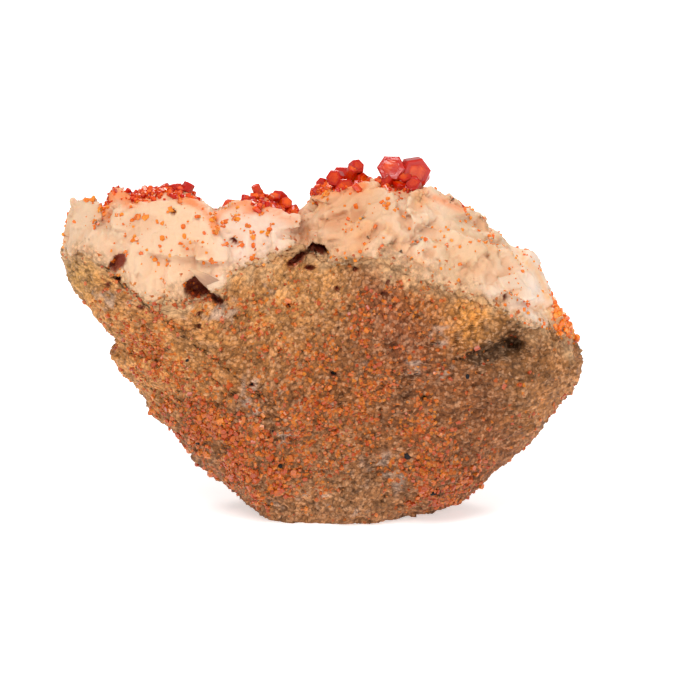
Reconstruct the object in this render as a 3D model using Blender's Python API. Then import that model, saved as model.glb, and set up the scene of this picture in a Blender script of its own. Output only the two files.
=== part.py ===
"""A hand-sized mineral specimen: red vanadinite crystals on pale pink barite over brown matrix rock.

Run with: blender --background --python part.py
The rock rests on a small flat at z = 0. +X runs along the specimen, -Y is its broken brown
side, and the crystals stand on the top and on the far side, towards +Y. Shapes are worked out
in millimetres and placed in metres.
"""

import math

import bmesh
import bpy
import numpy as np
from mathutils import Matrix, Vector

MM = 0.001
GAP = 0.3  # clear space between two pieces that touch on the real specimen
CLEARANCE_SHARE = 1.4  # a cut grows by this much more than the gap, as facets cut corners

# The whole specimen is a rounded slab. This is its outline seen from the broken side, as (x, z)
OUTLINE = [
    (-32.6, 33.1), (-32.0, 36.2), (-31.7, 38.0), (-31.0, 38.7), (-28.6, 38.8), (-27.3, 38.2),
    (-26.3, 39.2), (-24.8, 40.3), (-21.5, 40.6), (-19.3, 40.9), (-17.0, 40.6), (-15.3, 39.7),
    (-13.4, 38.0), (-11.3, 39.2), (-9.5, 39.4), (-7.5, 39.6), (-5.0, 38.7), (-2.4, 37.7),
    (-1.5, 39.4), (-0.3, 40.7), (2.8, 41.6), (4.7, 42.0), (8.5, 41.7), (11.6, 41.5), (14.0, 40.6),
    (16.0, 39.7), (18.0, 38.0), (20.0, 36.0), (22.0, 35.5), (22.8, 34.2), (24.5, 33.1), (26.0, 33.0),
    (27.1, 31.1), (29.1, 27.2), (30.1, 24.9), (31.2, 22.9), (31.9, 20.8), (33.0, 19.2), (32.4, 17.0),
    (30.7, 14.4), (28.3, 11.4), (25.6, 8.0), (22.5, 4.9), (19.7, 2.4), (16.8, 0.8), (12.4, -0.4),
    (9.0, -1.8), (6.0, -3.8), (0.0, -4.6), (-5.0, -3.6), (-8.6, -0.2), (-11.2, 2.2), (-13.8, 4.6),
    (-15.8, 6.0), (-17.3, 8.2), (-19.0, 10.2), (-21.3, 12.0), (-22.2, 14.2), (-23.4, 16.4),
    (-25.9, 19.0), (-26.7, 20.3), (-25.7, 21.4), (-26.2, 22.7), (-28.9, 25.4), (-31.0, 27.6),
    (-32.2, 29.3),
]
SLAB_CENTRE = (1.0, 21.0)
FRONT_DEPTH = 13.2  # from the rim to the flattest part of the broken side
BACK_DEPTH = 13.4
FRONT_SQUARE = 3.6  # above 2, the side is flatter in its middle and rounder at its rim
BACK_SQUARE = 2.4

# Where the pale crust ends and the brown rock begins on the broken side, as (x, z)
CRUST_EDGE = [
    (-33.0, 33.2), (-31.4, 34.2), (-30.0, 34.9), (-28.5, 34.2), (-26.8, 33.2), (-24.8, 31.6),
    (-23.4, 30.0), (-21.8, 29.1), (-19.3, 29.4), (-16.8, 29.4), (-14.4, 30.0), (-12.3, 31.4),
    (-11.0, 32.6), (-8.2, 34.0), (-5.7, 34.7), (-2.7, 35.6), (0.4, 35.0), (1.6, 34.2), (4.7, 34.8),
    (6.5, 35.0), (9.0, 34.0), (11.5, 32.5), (13.9, 30.9), (17.0, 30.1), (19.5, 29.4), (21.9, 27.9),
    (24.4, 26.3), (26.9, 25.3), (29.4, 23.8), (31.9, 22.4), (34.0, 21.0),
]
CRUST_DIP = 0.62  # how far the underside of the crust drops for each millimetre towards the back
CRUST_PROUD = 0.5  # the crust stands out over the rock below it
ROCK_CENTRE = (-4.0, 14.0)
CRUST_CENTRE = (0.0, 27.5)
CRUST_OVERLAP = 0.9  # the crust is first shaped this far into the rock, then cut back by it
ROCK_GRID = 18  # squares along one side of the grid that each sheet is shaped from
CRUST_GRID = 18
RIM_SHARE = 0.74  # beyond this share of the way out, grid lines crowd towards the rim
RIM_STEP = 0.05  # the rim is found to this many millimetres
SHIFT_Y = -2.1  # brings the middle of the specimen's depth to y = 0

# Hollows under the crust on the broken side: middle (x, y, z) and half sizes
CAVITIES = [
    (-14.6, -12.4, 30.9, 1.9, 2.0, 1.3),
    (-25.4, -10.2, 33.4, 1.6, 1.6, 1.3),
    (-1.8, -12.2, 35.2, 2.6, 1.5, 1.1),
    (21.4, -11.4, 23.9, 2.9, 1.5, 1.2),
]

# Lumps of the surface: a sum of waves, each (height, length of one wave in millimetres)
WAVES = [(0.55, 17.0), (0.45, 11.0), (0.3, 7.0), (0.22, 4.6)]
WAVES_EACH = 3

# Main barite blades: centre (x, y, z), half width, half height, thickness, then the way the flat
# face looks (compass angle from +X towards +Y, and climb) and the turn of the blade in its plane
FRONT_BLADES = [
    (-19.6, -7.2, 36.6, 5.6, 3.6, 2.4, -93, 8, 8),
    (-24.8, -5.6, 36.9, 3.4, 3.0, 2.2, -108, 14, -18),
    (-28.4, -5.6, 35.4, 2.7, 2.4, 1.6, -114, 8, 4),
    (-15.2, -8.6, 35.2, 3.4, 2.7, 1.6, -74, 10, -52),
    (-7.4, -4.6, 36.2, 5.4, 3.5, 2.2, -88, 12, -4),
    (-14.3, -11.0, 33.2, 2.6, 0.9, 0.7, -86, 40, -24),
    (1.2, -7.4, 37.6, 3.6, 2.2, 1.6, -112, 24, 42),
    (7.6, -5.8, 39.2, 4.6, 2.4, 2.4, -84, 34, -4),
    (13.6, -5.6, 38.2, 3.4, 2.2, 1.8, -72, 30, -28),
    (17.6, -8.6, 35.0, 3.9, 1.7, 1.5, -78, 22, -36),
    (20.4, -8.8, 31.8, 3.4, 1.5, 1.4, -70, 12, -50),
    (24.6, -6.8, 30.0, 3.4, 2.2, 1.6, -62, 14, -62),
    (28.2, -5.0, 26.0, 3.8, 1.7, 1.4, -52, 10, -62),
    (9.6, -10.6, 35.8, 2.6, 1.3, 1.2, -96, 26, 34),
    (-5.0, -10.4, 35.6, 2.4, 0.9, 0.8, -100, 30, 26),
]
# Cockscomb blades of the crystal side stand on edge in the crust: (x, z) where each is rooted,
# its radius, thickness, compass angle of the flat face, climb, and how far it stands out
BACK_BLADES = [
    (-26.5, 32.6, 4.6, 1.5, 24, 12, 1.9),
    (-21.0, 37.4, 4.4, 1.4, -34, 34, 1.6),
    (-21.0, 27.0, 5.4, 1.7, -40, 12, 2.6),
    (-15.2, 32.6, 5.6, 1.8, 38, 22, 2.2),
    (-15.0, 22.6, 5.0, 1.5, 14, -8, 2.4),
    (-8.6, 36.2, 4.8, 1.5, -16, 44, 1.7),
    (-8.4, 29.6, 6.0, 1.9, -44, 12, 2.7),
    (-6.4, 23.6, 4.8, 1.5, 34, 4, 2.4),
    (-1.6, 33.4, 5.4, 1.6, 20, 32, 2.1),
    (1.8, 25.6, 5.8, 1.9, -10, 16, 2.8),
    (6.0, 38.0, 5.0, 1.6, 46, 36, 1.6),
    (7.4, 31.2, 5.8, 1.9, -38, 20, 2.4),
    (8.6, 21.6, 5.0, 1.5, 22, -6, 2.4),
    (13.0, 33.0, 5.2, 1.6, -12, 28, 2.1),
    (14.6, 25.4, 5.6, 1.8, 40, 10, 2.7),
    (19.6, 32.4, 4.6, 1.5, 6, 26, 1.8),
    (20.4, 23.0, 5.0, 1.6, -32, 4, 2.3),
    (24.4, 28.0, 4.4, 1.5, 30, 12, 1.8),
    (26.4, 19.8, 4.2, 1.4, -8, 0, 1.7),
]
BLADE_SIDES = 7
BLADE_BEVEL = 0.72  # the flat face ends at this share of the blade's width

# Vanadinite crystals, each a hexagonal prism: centre (x, y, z), radius, length, then the compass
# angle and climb of its axis, and its turn about that axis
TWIN_CRYSTALS = [
    (8.7, -1.4, 43.7, 1.75, 1.8, -102, 14, 0),
    (11.5, -1.0, 43.3, 2.0, 2.3, -66, 10, 6),
    (10.2, -2.0, 42.8, 1.0, 1.5, -84, 40, 20),
    (8.2, -2.3, 42.4, 0.8, 1.3, -120, 30, 0),
    (11.4, -2.4, 42.0, 1.0, 1.4, -100, 24, 10),
    (9.6, -2.0, 41.5, 1.1, 2.2, -80, 60, 0),
    (12.0, 0.6, 42.3, 1.2, 2.2, 40, 40, 0),
    (9.0, 0.8, 42.4, 1.3, 2.0, 120, 36, 12),
]
SPRAY_CRYSTALS = [
    (4.2, -0.8, 44.2, 0.95, 1.3, -52, 34, 0),
    (3.5, -1.2, 43.2, 0.75, 2.6, -60, 58, 10),
    (1.7, -1.2, 42.9, 1.15, 1.7, -100, 34, 0),
    (4.6, -1.0, 42.6, 1.05, 1.6, -40, 16, 14),
    (2.9, -1.8, 41.9, 1.2, 1.8, -92, 12, 0),
    (0.2, -0.8, 42.0, 0.8, 1.6, -140, 30, 0),
    (-0.5, -0.9, 41.0, 0.8, 1.7, -150, 10, 20),
    (2.4, 0.8, 42.6, 1.3, 2.2, 80, 40, 0),
    (1.6, -0.6, 41.4, 1.4, 2.6, 180, 60, 0),
]
SADDLE_CRYSTALS = [
    (-8.0, -0.2, 41.2, 0.65, 2.6, 150, 62, 0),
    (-7.9, -0.8, 40.0, 0.85, 1.8, -110, 20, 0),
    (-6.0, -0.2, 40.4, 0.85, 1.4, -80, 62, 12),
    (-6.3, -1.2, 39.5, 1.0, 1.6, -95, 16, 0),
    (-4.6, -0.8, 39.9, 0.95, 1.5, -60, 30, 8),
    (-3.9, -0.9, 39.1, 0.9, 1.8, -30, 14, 0),
    (-9.3, -0.7, 39.7, 0.7, 1.6, -130, 24, 0),
    (-5.6, 0.8, 39.9, 1.3, 2.4, 70, 40, 0),
    (-8.0, 0.9, 39.8, 1.1, 2.2, 110, 40, 16),
]
# Smaller crusts of crystals: name, where (x, z), side of the rim (-1 broken side, +1 crystal
# side), number of crystals, and their radius
CRUSTS = [
    ("vanadinite_left_tip", -25.8, 39.3, -1, 5, 0.95),
    ("vanadinite_left_crest", -18.6, 40.6, 1, 7, 1.15),
    ("vanadinite_right_edge", 31.0, 22.8, -1, 4, 0.85),
    ("vanadinite_far_upper_left", -23.6, 34.6, 1, 5, 1.4),
    ("vanadinite_far_lower_left", -18.0, 28.2, 1, 5, 1.6),
    ("vanadinite_far_left_pair", -11.8, 35.0, 1, 4, 1.7),
    ("vanadinite_far_left_rosette", -11.6, 25.6, 1, 5, 1.6),
    ("vanadinite_far_middle_rosette", -3.4, 29.4, 1, 6, 1.9),
    ("vanadinite_far_top_rosette", 3.6, 34.6, 1, 5, 1.6),
    ("vanadinite_far_middle_low", 2.6, 21.4, 1, 4, 1.3),
    ("vanadinite_far_right_rosette", 10.4, 27.4, 1, 6, 1.8),
    ("vanadinite_far_right_crest", 16.0, 36.0, 1, 4, 1.4),
    ("vanadinite_far_right_pair", 20.2, 28.4, 1, 4, 1.6),
    ("vanadinite_far_right_tip", 25.6, 23.8, 1, 4, 1.3),
]
CUT_REACH = 0.6  # how far a hollow is cut outside the crystals that sit in it
SEAT_MERGE = 0.75  # corners of a hollow that are closer than this become one

ROCK_COLOUR = (0.37, 0.15, 0.06, 1.0)
BARITE_COLOUR = (0.88, 0.58, 0.40, 1.0)
VANADINITE_COLOUR = (0.62, 0.07, 0.015, 1.0)


def clear_scene():
    for obj in list(bpy.data.objects):
        bpy.data.objects.remove(obj, do_unlink=True)


def make_material(name, colour, roughness, transmission=0.0):
    material = bpy.data.materials.new(name)
    material.use_nodes = True
    shader = material.node_tree.nodes["Principled BSDF"]
    shader.inputs["Base Color"].default_value = colour
    shader.inputs["Roughness"].default_value = roughness
    shader.inputs["Metallic"].default_value = 0.0
    shader.inputs["Transmission Weight"].default_value = transmission
    material.diffuse_color = colour
    return material


def waves():
    """Fixed wave vectors and phases for lumps(), the same on every run."""
    chooser = np.random.RandomState(7)
    found = []
    for height, length in WAVES:
        for _ in range(WAVES_EACH):
            way = chooser.normal(size=3)
            way *= 2 * math.pi / (length * np.linalg.norm(way))
            found.append((height / WAVES_EACH**0.5, way, chooser.uniform(0, 2 * math.pi)))
    return found


WAVE_SET = waves()


def lumps(x, y, z):
    """Height of the surface's lumps at a point: the sum of all waves there."""
    total = 0.0
    for height, way, phase in WAVE_SET:
        total = total + height * np.sin(way[0] * x + way[1] * y + way[2] * z + phase)
    return total


def polar_outline(centre):
    """The outline as angles and distances about a centre, sorted and closed round."""
    points = np.array(OUTLINE) - np.array(centre)
    angle = np.arctan2(points[:, 1], points[:, 0])
    order = np.argsort(angle)
    angle, reach = angle[order], np.hypot(points[:, 0], points[:, 1])[order]
    turn = 2 * math.pi
    return np.concatenate([angle - turn, angle, angle + turn]), np.tile(reach, 3)


SLAB_POLAR = polar_outline(SLAB_CENTRE)


def rim_share(x, z):
    """How far out a point lies, from 0 at the slab's centre to 1 on its outline."""
    dx, dz = x - SLAB_CENTRE[0], z - SLAB_CENTRE[1]
    return np.hypot(dx, dz) / np.interp(np.arctan2(dz, dx), *SLAB_POLAR)


def bulge(x, z, square):
    """A slab's thickness profile: 1 in the middle and 0 on the outline."""
    return np.sqrt(np.clip(1 - rim_share(x, z) ** square, 0, 1))


def side_y(x, z, side):
    """The y of the slab's surface: the broken side (side -1) or the crystal side (side 1)."""
    depth, square = (FRONT_DEPTH, FRONT_SQUARE) if side < 0 else (BACK_DEPTH, BACK_SQUARE)
    profile = bulge(x, z, square)
    return side * (depth + lumps(x, side * depth, z)) * profile


def crust_edge(x):
    points = np.array(CRUST_EDGE)
    return np.interp(x, points[:, 0], points[:, 1])


def underside_y(x, z):
    """The y of the surface between crust and rock. It starts at the crust's edge and dips to the back."""
    edge = crust_edge(x)
    return side_y(x, edge, -1) + (edge - z) / CRUST_DIP


def rock_front(x, z):
    return side_y(x, z, -1)


def rock_back(x, z):
    return np.minimum(side_y(x, z, 1), underside_y(x, z))


def crust_front(x, z):
    return np.maximum(side_y(x, z, -1) - CRUST_PROUD, underside_y(x, z) - CRUST_OVERLAP)


def crust_back(x, z):
    return side_y(x, z, 1) + 1.2 * bulge(x, z, BACK_SQUARE)


def rim_of(centre, front, back):
    """The rim of a piece about its centre: angles, and the distance at which it stops being solid."""
    angle = np.linspace(0, 2 * math.pi, 721)
    step = np.arange(RIM_STEP, 48.0, RIM_STEP)
    x = centre[0] + np.outer(np.cos(angle), step)
    z = centre[1] + np.outer(np.sin(angle), step)
    gone = (rim_share(x, z) >= 0.9995) | (back(x, z) <= front(x, z) + 0.02)
    return angle, step[np.argmax(gone, axis=1)]


def grid_polar(a, b):
    """A square's points (a, b), from -1 to 1, as a share of the way out and a share of the way round."""
    wide = np.abs(a) > np.abs(b)
    long_side = np.where(wide, a, b)
    safe = np.where(long_side == 0, 1, long_side)
    turn = np.where(wide, b / safe, 2 - a / safe) * math.pi / 4
    turn = np.where(long_side < 0, turn + math.pi, turn)
    return np.abs(long_side), np.mod(turn, 2 * math.pi)


def crowd(share):
    """Even steps up to RIM_SHARE, then steps that shrink towards the rim."""
    slope = 2 / (1 + RIM_SHARE)
    outer = 1 - slope / (2 * (1 - RIM_SHARE)) * (1 - share) ** 2
    return np.where(share < RIM_SHARE, slope * share, outer)


def sheet_points(a, b, centre, rim):
    """Places the points of a square grid inside a rim, evenly spaced along it."""
    angle, reach = rim
    x, z = reach * np.cos(angle), reach * np.sin(angle)
    run = np.concatenate([[0], np.cumsum(np.hypot(np.diff(x), np.diff(z)))])
    share, turn = grid_polar(a, b)
    even = np.interp(turn / (2 * math.pi), run / run[-1], angle)
    out = crowd(share) * np.interp(even, angle, reach)
    return centre[0] + out * np.cos(even), centre[1] + out * np.sin(even), share


def shape_sheet(bm, squares, side, centre, rim, height, other):
    """Adds one sheet to bm: a flat grid whose vertices are moved on to the surface y = height(x, z).

    Each square is split in two before the move, the same way on both sheets, so they never cross.
    The split runs outwards from the grid's middle, so that no half lies wholly on the rim.
    """
    made = bmesh.ops.create_grid(bm, x_segments=squares, y_segments=squares, size=1.0)["verts"]
    quarters = {"FIXED": set(), "ALTERNATE": set()}
    for face in {face for vertex in made for face in vertex.link_faces}:
        middle = face.calc_center_median()
        quarters["FIXED" if middle.x * middle.y > 0 else "ALTERNATE"].add(face)
    halves = []
    for method, faces in quarters.items():
        halves += bmesh.ops.triangulate(bm, faces=list(faces), quad_method=method)["faces"]
    flat = np.array([vertex.co[:2] for vertex in made])
    x, z, share = sheet_points(flat[:, 0], flat[:, 1], centre, rim)
    y = height(x, z)
    on_rim = share > 1 - 1e-6
    y = np.where(on_rim, (y + other(x, z)) / 2, y)
    for vertex, *place in zip(made, x, y, z):
        vertex.co = place
    if side > 0:
        bmesh.ops.reverse_faces(bm, faces=halves)


def object_of(bm, name, material=None):
    """Turns a bmesh into an object, still one unit to the millimetre."""
    bmesh.ops.translate(bm, vec=(0, SHIFT_Y, 0), verts=bm.verts)
    bmesh.ops.recalc_face_normals(bm, faces=bm.faces)
    mesh = bpy.data.meshes.new(name)
    bm.to_mesh(mesh)
    bm.free()
    if material:
        mesh.materials.append(material)
    obj = bpy.data.objects.new(name, mesh)
    bpy.context.scene.collection.objects.link(obj)
    return obj


def slab_shape(squares, centre, front, back):
    """A closed shape between two surfaces, front(x, z) and back(x, z), welded along its rim."""
    rim = rim_of(centre, front, back)
    bm = bmesh.new()
    shape_sheet(bm, squares, -1, centre, rim, front, back)
    shape_sheet(bm, squares, 1, centre, rim, back, front)
    bmesh.ops.remove_doubles(bm, verts=bm.verts, dist=0.02)
    bmesh.ops.recalc_face_normals(bm, faces=bm.faces)
    return bm


def cut_flat(bm):
    """Cuts a shape off flat at z = 0 and closes the cut with one face, which the rock rests on."""
    geometry = bm.verts[:] + bm.edges[:] + bm.faces[:]
    cut = bmesh.ops.bisect_plane(
        bm, geom=geometry, dist=0.001, plane_co=(0, 0, 0), plane_no=(0, 0, -1), clear_outer=True
    )
    edges = [item for item in cut["geom_cut"] if isinstance(item, bmesh.types.BMEdge)]
    bmesh.ops.contextual_create(bm, geom=edges)


def rock_shape():
    """The matrix rock: the slab below the surface that the crust grew on, cut off flat at z = 0."""
    bm = slab_shape(ROCK_GRID, ROCK_CENTRE, rock_front, rock_back)
    cut_flat(bm)
    bmesh.ops.triangulate(bm, faces=bm.faces)
    bmesh.ops.recalc_face_normals(bm, faces=bm.faces)
    return bm


def clearance_shape():
    """The rock with every corner moved outwards, so that what it cuts stays clear of it."""
    bm = rock_shape()
    bm.normal_update()
    for vertex in bm.verts:
        vertex.co += vertex.normal * GAP * CLEARANCE_SHARE
    return bm


def look_matrix(place, compass, climb, turn):
    """Turns a shape's +Z to look along a compass angle and climb, and moves it to its place."""
    compass, climb = math.radians(compass), math.radians(climb)
    look = Vector((math.cos(climb) * math.cos(compass), math.cos(climb) * math.sin(compass), math.sin(climb)))
    tilt = look.to_track_quat("Z", "Y").to_matrix().to_4x4()
    return Matrix.Translation(place) @ tilt @ Matrix.Rotation(math.radians(turn), 4, "Z")


def ringed_solid(bm, rings, matrix):
    """A solid through a stack of rings, each a list of (x, y, z) points, with flat ends."""
    loops = []
    for ring in rings:
        verts = [bm.verts.new(matrix @ Vector(point)) for point in ring]
        loops.append([bm.edges.new((verts[i - 1], verts[i])) for i in range(len(verts))])
        if ring in (rings[0], rings[-1]):
            bm.faces.new(verts)
    for below, above in zip(loops, loops[1:]):
        bmesh.ops.bridge_loops(bm, edges=below + above)


def ring(sides, half_wide, half_high, z):
    angles = [2 * math.pi * i / sides for i in range(sides)]
    return [(half_wide * math.cos(t), half_high * math.sin(t), z) for t in angles]


def add_blade(bm, matrix, half_wide, half_high, thickness):
    """A barite blade: a flat oval crystal with its edges bevelled all round."""
    half = thickness / 2
    face = ring(BLADE_SIDES, half_wide * BLADE_BEVEL, half_high * BLADE_BEVEL, half)
    girdle = ring(BLADE_SIDES, half_wide, half_high, 0.0)
    foot = [(x, y, -z) for x, y, z in face]
    ringed_solid(bm, [foot, girdle, face], matrix)


def add_crystal(bm, crystal, grow=0.0):
    """A vanadinite crystal: a hexagonal prism."""
    x, y, z, radius, length, compass, climb, turn = crystal
    half, wide = length / 2 + grow, radius + grow
    rings = [ring(6, wide, wide, height) for height in (-half, half)]
    ringed_solid(bm, rings, look_matrix((x, y, z), compass, climb, turn))


def surface_normal(x, z, side, back=crust_back):
    """The outward direction of the crust's surface at (x, z), from its slope."""
    height = back if side > 0 else crust_front
    step = 0.6
    slope_x = (height(x + step, z) - height(x - step, z)) / (2 * step)
    slope_z = (height(x, z + step) - height(x, z - step)) / (2 * step)
    return Vector((-slope_x, 1.0, -slope_z)).normalized() * side


def crust_crystals(x, z, side, count, radius, seed):
    """Crystals of one small crust: they stand round a place on the surface and fan out from it."""
    chooser = np.random.RandomState(seed)
    height = crust_back if side > 0 else crust_front
    if rim_share(x, z) > 0.93:  # on the crest the crystals stand straight up from the rim
        centre = SLAB_CENTRE
        x, z = centre[0] + (x - centre[0]) * 0.985, centre[1] + (z - centre[1]) * 0.985
        out = Vector((0.25 * (x - centre[0]) / 30, 0.25 * side, 1.0)).normalized()
        y = 0.45 * side
    else:
        out = surface_normal(x, z, side)
        y = float(height(x, z))
    root = Vector((x, y, z)) + out * radius * 0.15
    across = out.orthogonal().normalized()
    found = []
    for i in range(count):
        turn = 2 * math.pi * i / max(count - 1, 1) + chooser.uniform(-0.3, 0.3)
        reach = 0.0 if i == 0 else radius * chooser.uniform(0.95, 1.35)
        away = Matrix.Rotation(turn, 3, out) @ across
        size = radius * (1.1 if i == 0 else chooser.uniform(0.6, 1.0))
        long = size * chooser.uniform(1.3, 2.0)
        axis = (out + away * (0.0 if i == 0 else chooser.uniform(0.3, 0.9))).normalized()
        place = root + away * reach + axis * size * chooser.uniform(0.1, 0.45)
        compass = math.degrees(math.atan2(axis.y, axis.x))
        climb = math.degrees(math.asin(max(-1.0, min(1.0, axis.z))))
        found.append((*place, size, long, compass, climb, chooser.uniform(0, 60)))
    return found


def helper_collection(name):
    collection = bpy.data.collections.new(name)
    bpy.context.scene.collection.children.link(collection)
    return collection


def make_helper(obj, collection):
    """A shape that only joins or cuts another: it is drawn as wire and left out of renders."""
    bpy.context.scene.collection.objects.unlink(obj)
    collection.objects.link(obj)
    obj.hide_render = True
    obj.display_type = "WIRE"


def remove_helpers(*collections):
    for collection in collections:
        for obj in list(collection.objects):
            bpy.data.objects.remove(obj, do_unlink=True)
        bpy.data.collections.remove(collection)


def add_boolean(obj, operation, collection):
    modifier = obj.modifiers.new(operation.lower(), "BOOLEAN")
    modifier.operation = operation
    modifier.operand_type = "COLLECTION"
    modifier.collection = collection
    modifier.solver = "EXACT"
    modifier.use_self = True


def join_and_cut(obj, operation, collection):
    """Joins a collection's shapes to an object or cuts them from it, and drops any loose chip."""
    add_boolean(obj, operation, collection)
    graph = bpy.context.evaluated_depsgraph_get()
    mesh = bpy.data.meshes.new_from_object(obj.evaluated_get(graph))
    obj.modifiers.clear()
    bm = bmesh.new()
    bm.from_mesh(mesh)
    bmesh.ops.triangulate(bm, faces=bm.faces)
    body = max(bodies_of(bm), key=len)
    bmesh.ops.delete(bm, geom=[face for face in bm.faces if face not in body], context="FACES")
    bm.to_mesh(mesh)
    bm.free()
    obj.data = mesh


def bodies_of(bm):
    """The faces of each separate body, as sets: faces joined edge to edge are in one body."""
    left, found = set(bm.faces), []
    while left:
        body, edge_of_body = set(), [left.pop()]
        while edge_of_body:
            face = edge_of_body.pop()
            body.add(face)
            joints = [edge for edge in face.edges if len(edge.link_faces) == 2]
            near = {other for edge in joints for other in edge.link_faces} & left
            left -= near
            edge_of_body.extend(near)
        found.append(body)
    return found


def vanadinite_cluster(name, crystals, material):
    """One group of crystals that have grown into each other, joined in one solid."""
    parts = helper_collection(name + "_crystals")
    for number, crystal in enumerate(crystals[1:]):
        bm = bmesh.new()
        add_crystal(bm, crystal)
        make_helper(object_of(bm, f"{name}_crystal_{number}"), parts)
    bm = bmesh.new()
    add_crystal(bm, crystals[0])
    join_and_cut(object_of(bm, name, material), "UNION", parts)
    remove_helpers(parts)


def cluster_hollow(name, crystals, collection):
    """The hollow that a group of crystals sits in: the smallest rounded-out shape round all of them."""
    bm = bmesh.new()
    for crystal in crystals:
        add_crystal(bm, crystal, CUT_REACH)
    bmesh.ops.remove_doubles(bm, verts=bm.verts, dist=SEAT_MERGE)
    hull = bmesh.ops.convex_hull(bm, input=bm.verts)
    loose = [item for item in hull["geom_interior"] + hull["geom_unused"] if isinstance(item, bmesh.types.BMVert)]
    bmesh.ops.delete(bm, geom=list(set(loose)), context="VERTS")
    kept = {item for item in hull["geom"] if isinstance(item, bmesh.types.BMFace)}
    bmesh.ops.delete(bm, geom=[face for face in bm.faces if face not in kept], context="FACES")
    make_helper(object_of(bm, name + "_hollow"), collection)


def blade_shapes():
    """The matrix and size of every main blade: those of the broken side, then the cockscomb ones."""
    found = []
    for x, y, z, wide, high, thick, compass, climb, turn in FRONT_BLADES:
        found.append((look_matrix((x, y, z), compass, climb, turn), wide, high, thick))
    for x, z, radius, thick, compass, climb, stands_out in BACK_BLADES:
        out = surface_normal(x, z, 1)
        root = Vector((x, float(crust_back(x, z)), z))
        place = root + out * (stands_out - 0.8 * radius)
        found.append((look_matrix(place, compass, climb, 0), radius, 0.8 * radius, thick))
    return found


def add_hollows(collection, clusters):
    """Fills a collection with what is cut from rock and crust: crystals' seats and open cavities."""
    for name, crystals in clusters.items():
        cluster_hollow(name, crystals, collection)
    for number, (x, y, z, *half_sizes) in enumerate(CAVITIES):
        bm = bmesh.new()
        size = Matrix.Diagonal((*half_sizes, 1))
        bmesh.ops.create_icosphere(bm, subdivisions=1, radius=1, matrix=Matrix.Translation((x, y, z)) @ size)
        make_helper(object_of(bm, f"cavity_{number}"), collection)


def build_crust(material, hollows):
    """The barite crust: the slab's pale part with its blades joined on, cut clear of the rock."""
    shape = slab_shape(CRUST_GRID, CRUST_CENTRE, crust_front, crust_back)
    crust = object_of(shape, "barite_crust", material)
    blades = helper_collection("barite_blades")
    for number, (matrix, wide, high, thick) in enumerate(blade_shapes()):
        bm = bmesh.new()
        add_blade(bm, matrix, wide, high, thick)
        make_helper(object_of(bm, f"blade_{number}"), blades)
    clearance = helper_collection("rock_clearance")
    make_helper(object_of(clearance_shape(), "grown_rock"), clearance)
    join_and_cut(crust, "UNION", blades)
    join_and_cut(crust, "DIFFERENCE", clearance)
    join_and_cut(crust, "DIFFERENCE", hollows)
    remove_helpers(blades, clearance)


def main():
    clear_scene()
    rock_material = make_material("brown_matrix_rock", ROCK_COLOUR, 0.85)
    barite_material = make_material("pink_barite", BARITE_COLOUR, 0.45)
    vanadinite_material = make_material("red_vanadinite", VANADINITE_COLOUR, 0.18)
    clusters = {
        "vanadinite_twin_crystals": TWIN_CRYSTALS,
        "vanadinite_centre_spray": SPRAY_CRYSTALS,
        "vanadinite_saddle_cluster": SADDLE_CRYSTALS,
    }
    for seed, (name, x, z, side, count, radius) in enumerate(CRUSTS):
        clusters[name] = crust_crystals(x, z, side, count, radius, seed)
    hollows = helper_collection("hollows")
    add_hollows(hollows, clusters)
    rock = object_of(rock_shape(), "matrix_rock", rock_material)
    join_and_cut(rock, "DIFFERENCE", hollows)
    build_crust(barite_material, hollows)
    remove_helpers(hollows)
    for name, crystals in clusters.items():
        vanadinite_cluster(name, crystals, vanadinite_material)
    for obj in bpy.context.scene.objects:
        obj.data.transform(Matrix.Scale(MM, 4))


main()
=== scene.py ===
# %% [markdown]
# # Vanadinite on matrix
# This lesson dresses a mineral specimen. Three things grew on each other: a brown, sugary rock, a
# pale pink crust of barite blades over it, and glossy red-orange vanadinite crystals on top. The
# solids of the specimen are already made. They are loaded first, as a frame that nothing here
# moves, and finer surfaces then stand in their place.

# %% Load the frame
import math

import bpy
import numpy as np
from mathutils import Matrix, Vector


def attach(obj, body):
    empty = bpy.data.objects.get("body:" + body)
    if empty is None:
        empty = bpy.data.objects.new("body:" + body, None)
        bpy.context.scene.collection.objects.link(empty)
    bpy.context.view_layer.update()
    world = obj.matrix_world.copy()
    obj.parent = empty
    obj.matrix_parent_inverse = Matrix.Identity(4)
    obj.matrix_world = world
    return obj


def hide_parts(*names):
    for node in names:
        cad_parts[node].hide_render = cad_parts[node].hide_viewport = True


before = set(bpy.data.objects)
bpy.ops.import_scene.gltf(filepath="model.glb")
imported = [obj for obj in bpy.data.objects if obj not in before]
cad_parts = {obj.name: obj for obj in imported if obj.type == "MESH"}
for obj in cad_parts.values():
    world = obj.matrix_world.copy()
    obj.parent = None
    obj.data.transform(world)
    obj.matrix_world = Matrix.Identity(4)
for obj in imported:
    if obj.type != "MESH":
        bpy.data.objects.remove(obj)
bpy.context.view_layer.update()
MM = 0.001
print("nodes in the frame:", sorted(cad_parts))

# %% [markdown]
# ## The outline
# Seen from its broken side the specimen is a rounded slab with an uneven outline. A photograph
# scan could give such a body, or a sculpted mesh. A slab worked out from one outline and two
# thickness profiles is better here, because the rock and the crust can then both be cut from the
# same two surfaces and meet exactly. All sizes are in millimetres, and become metres at the end.

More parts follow.
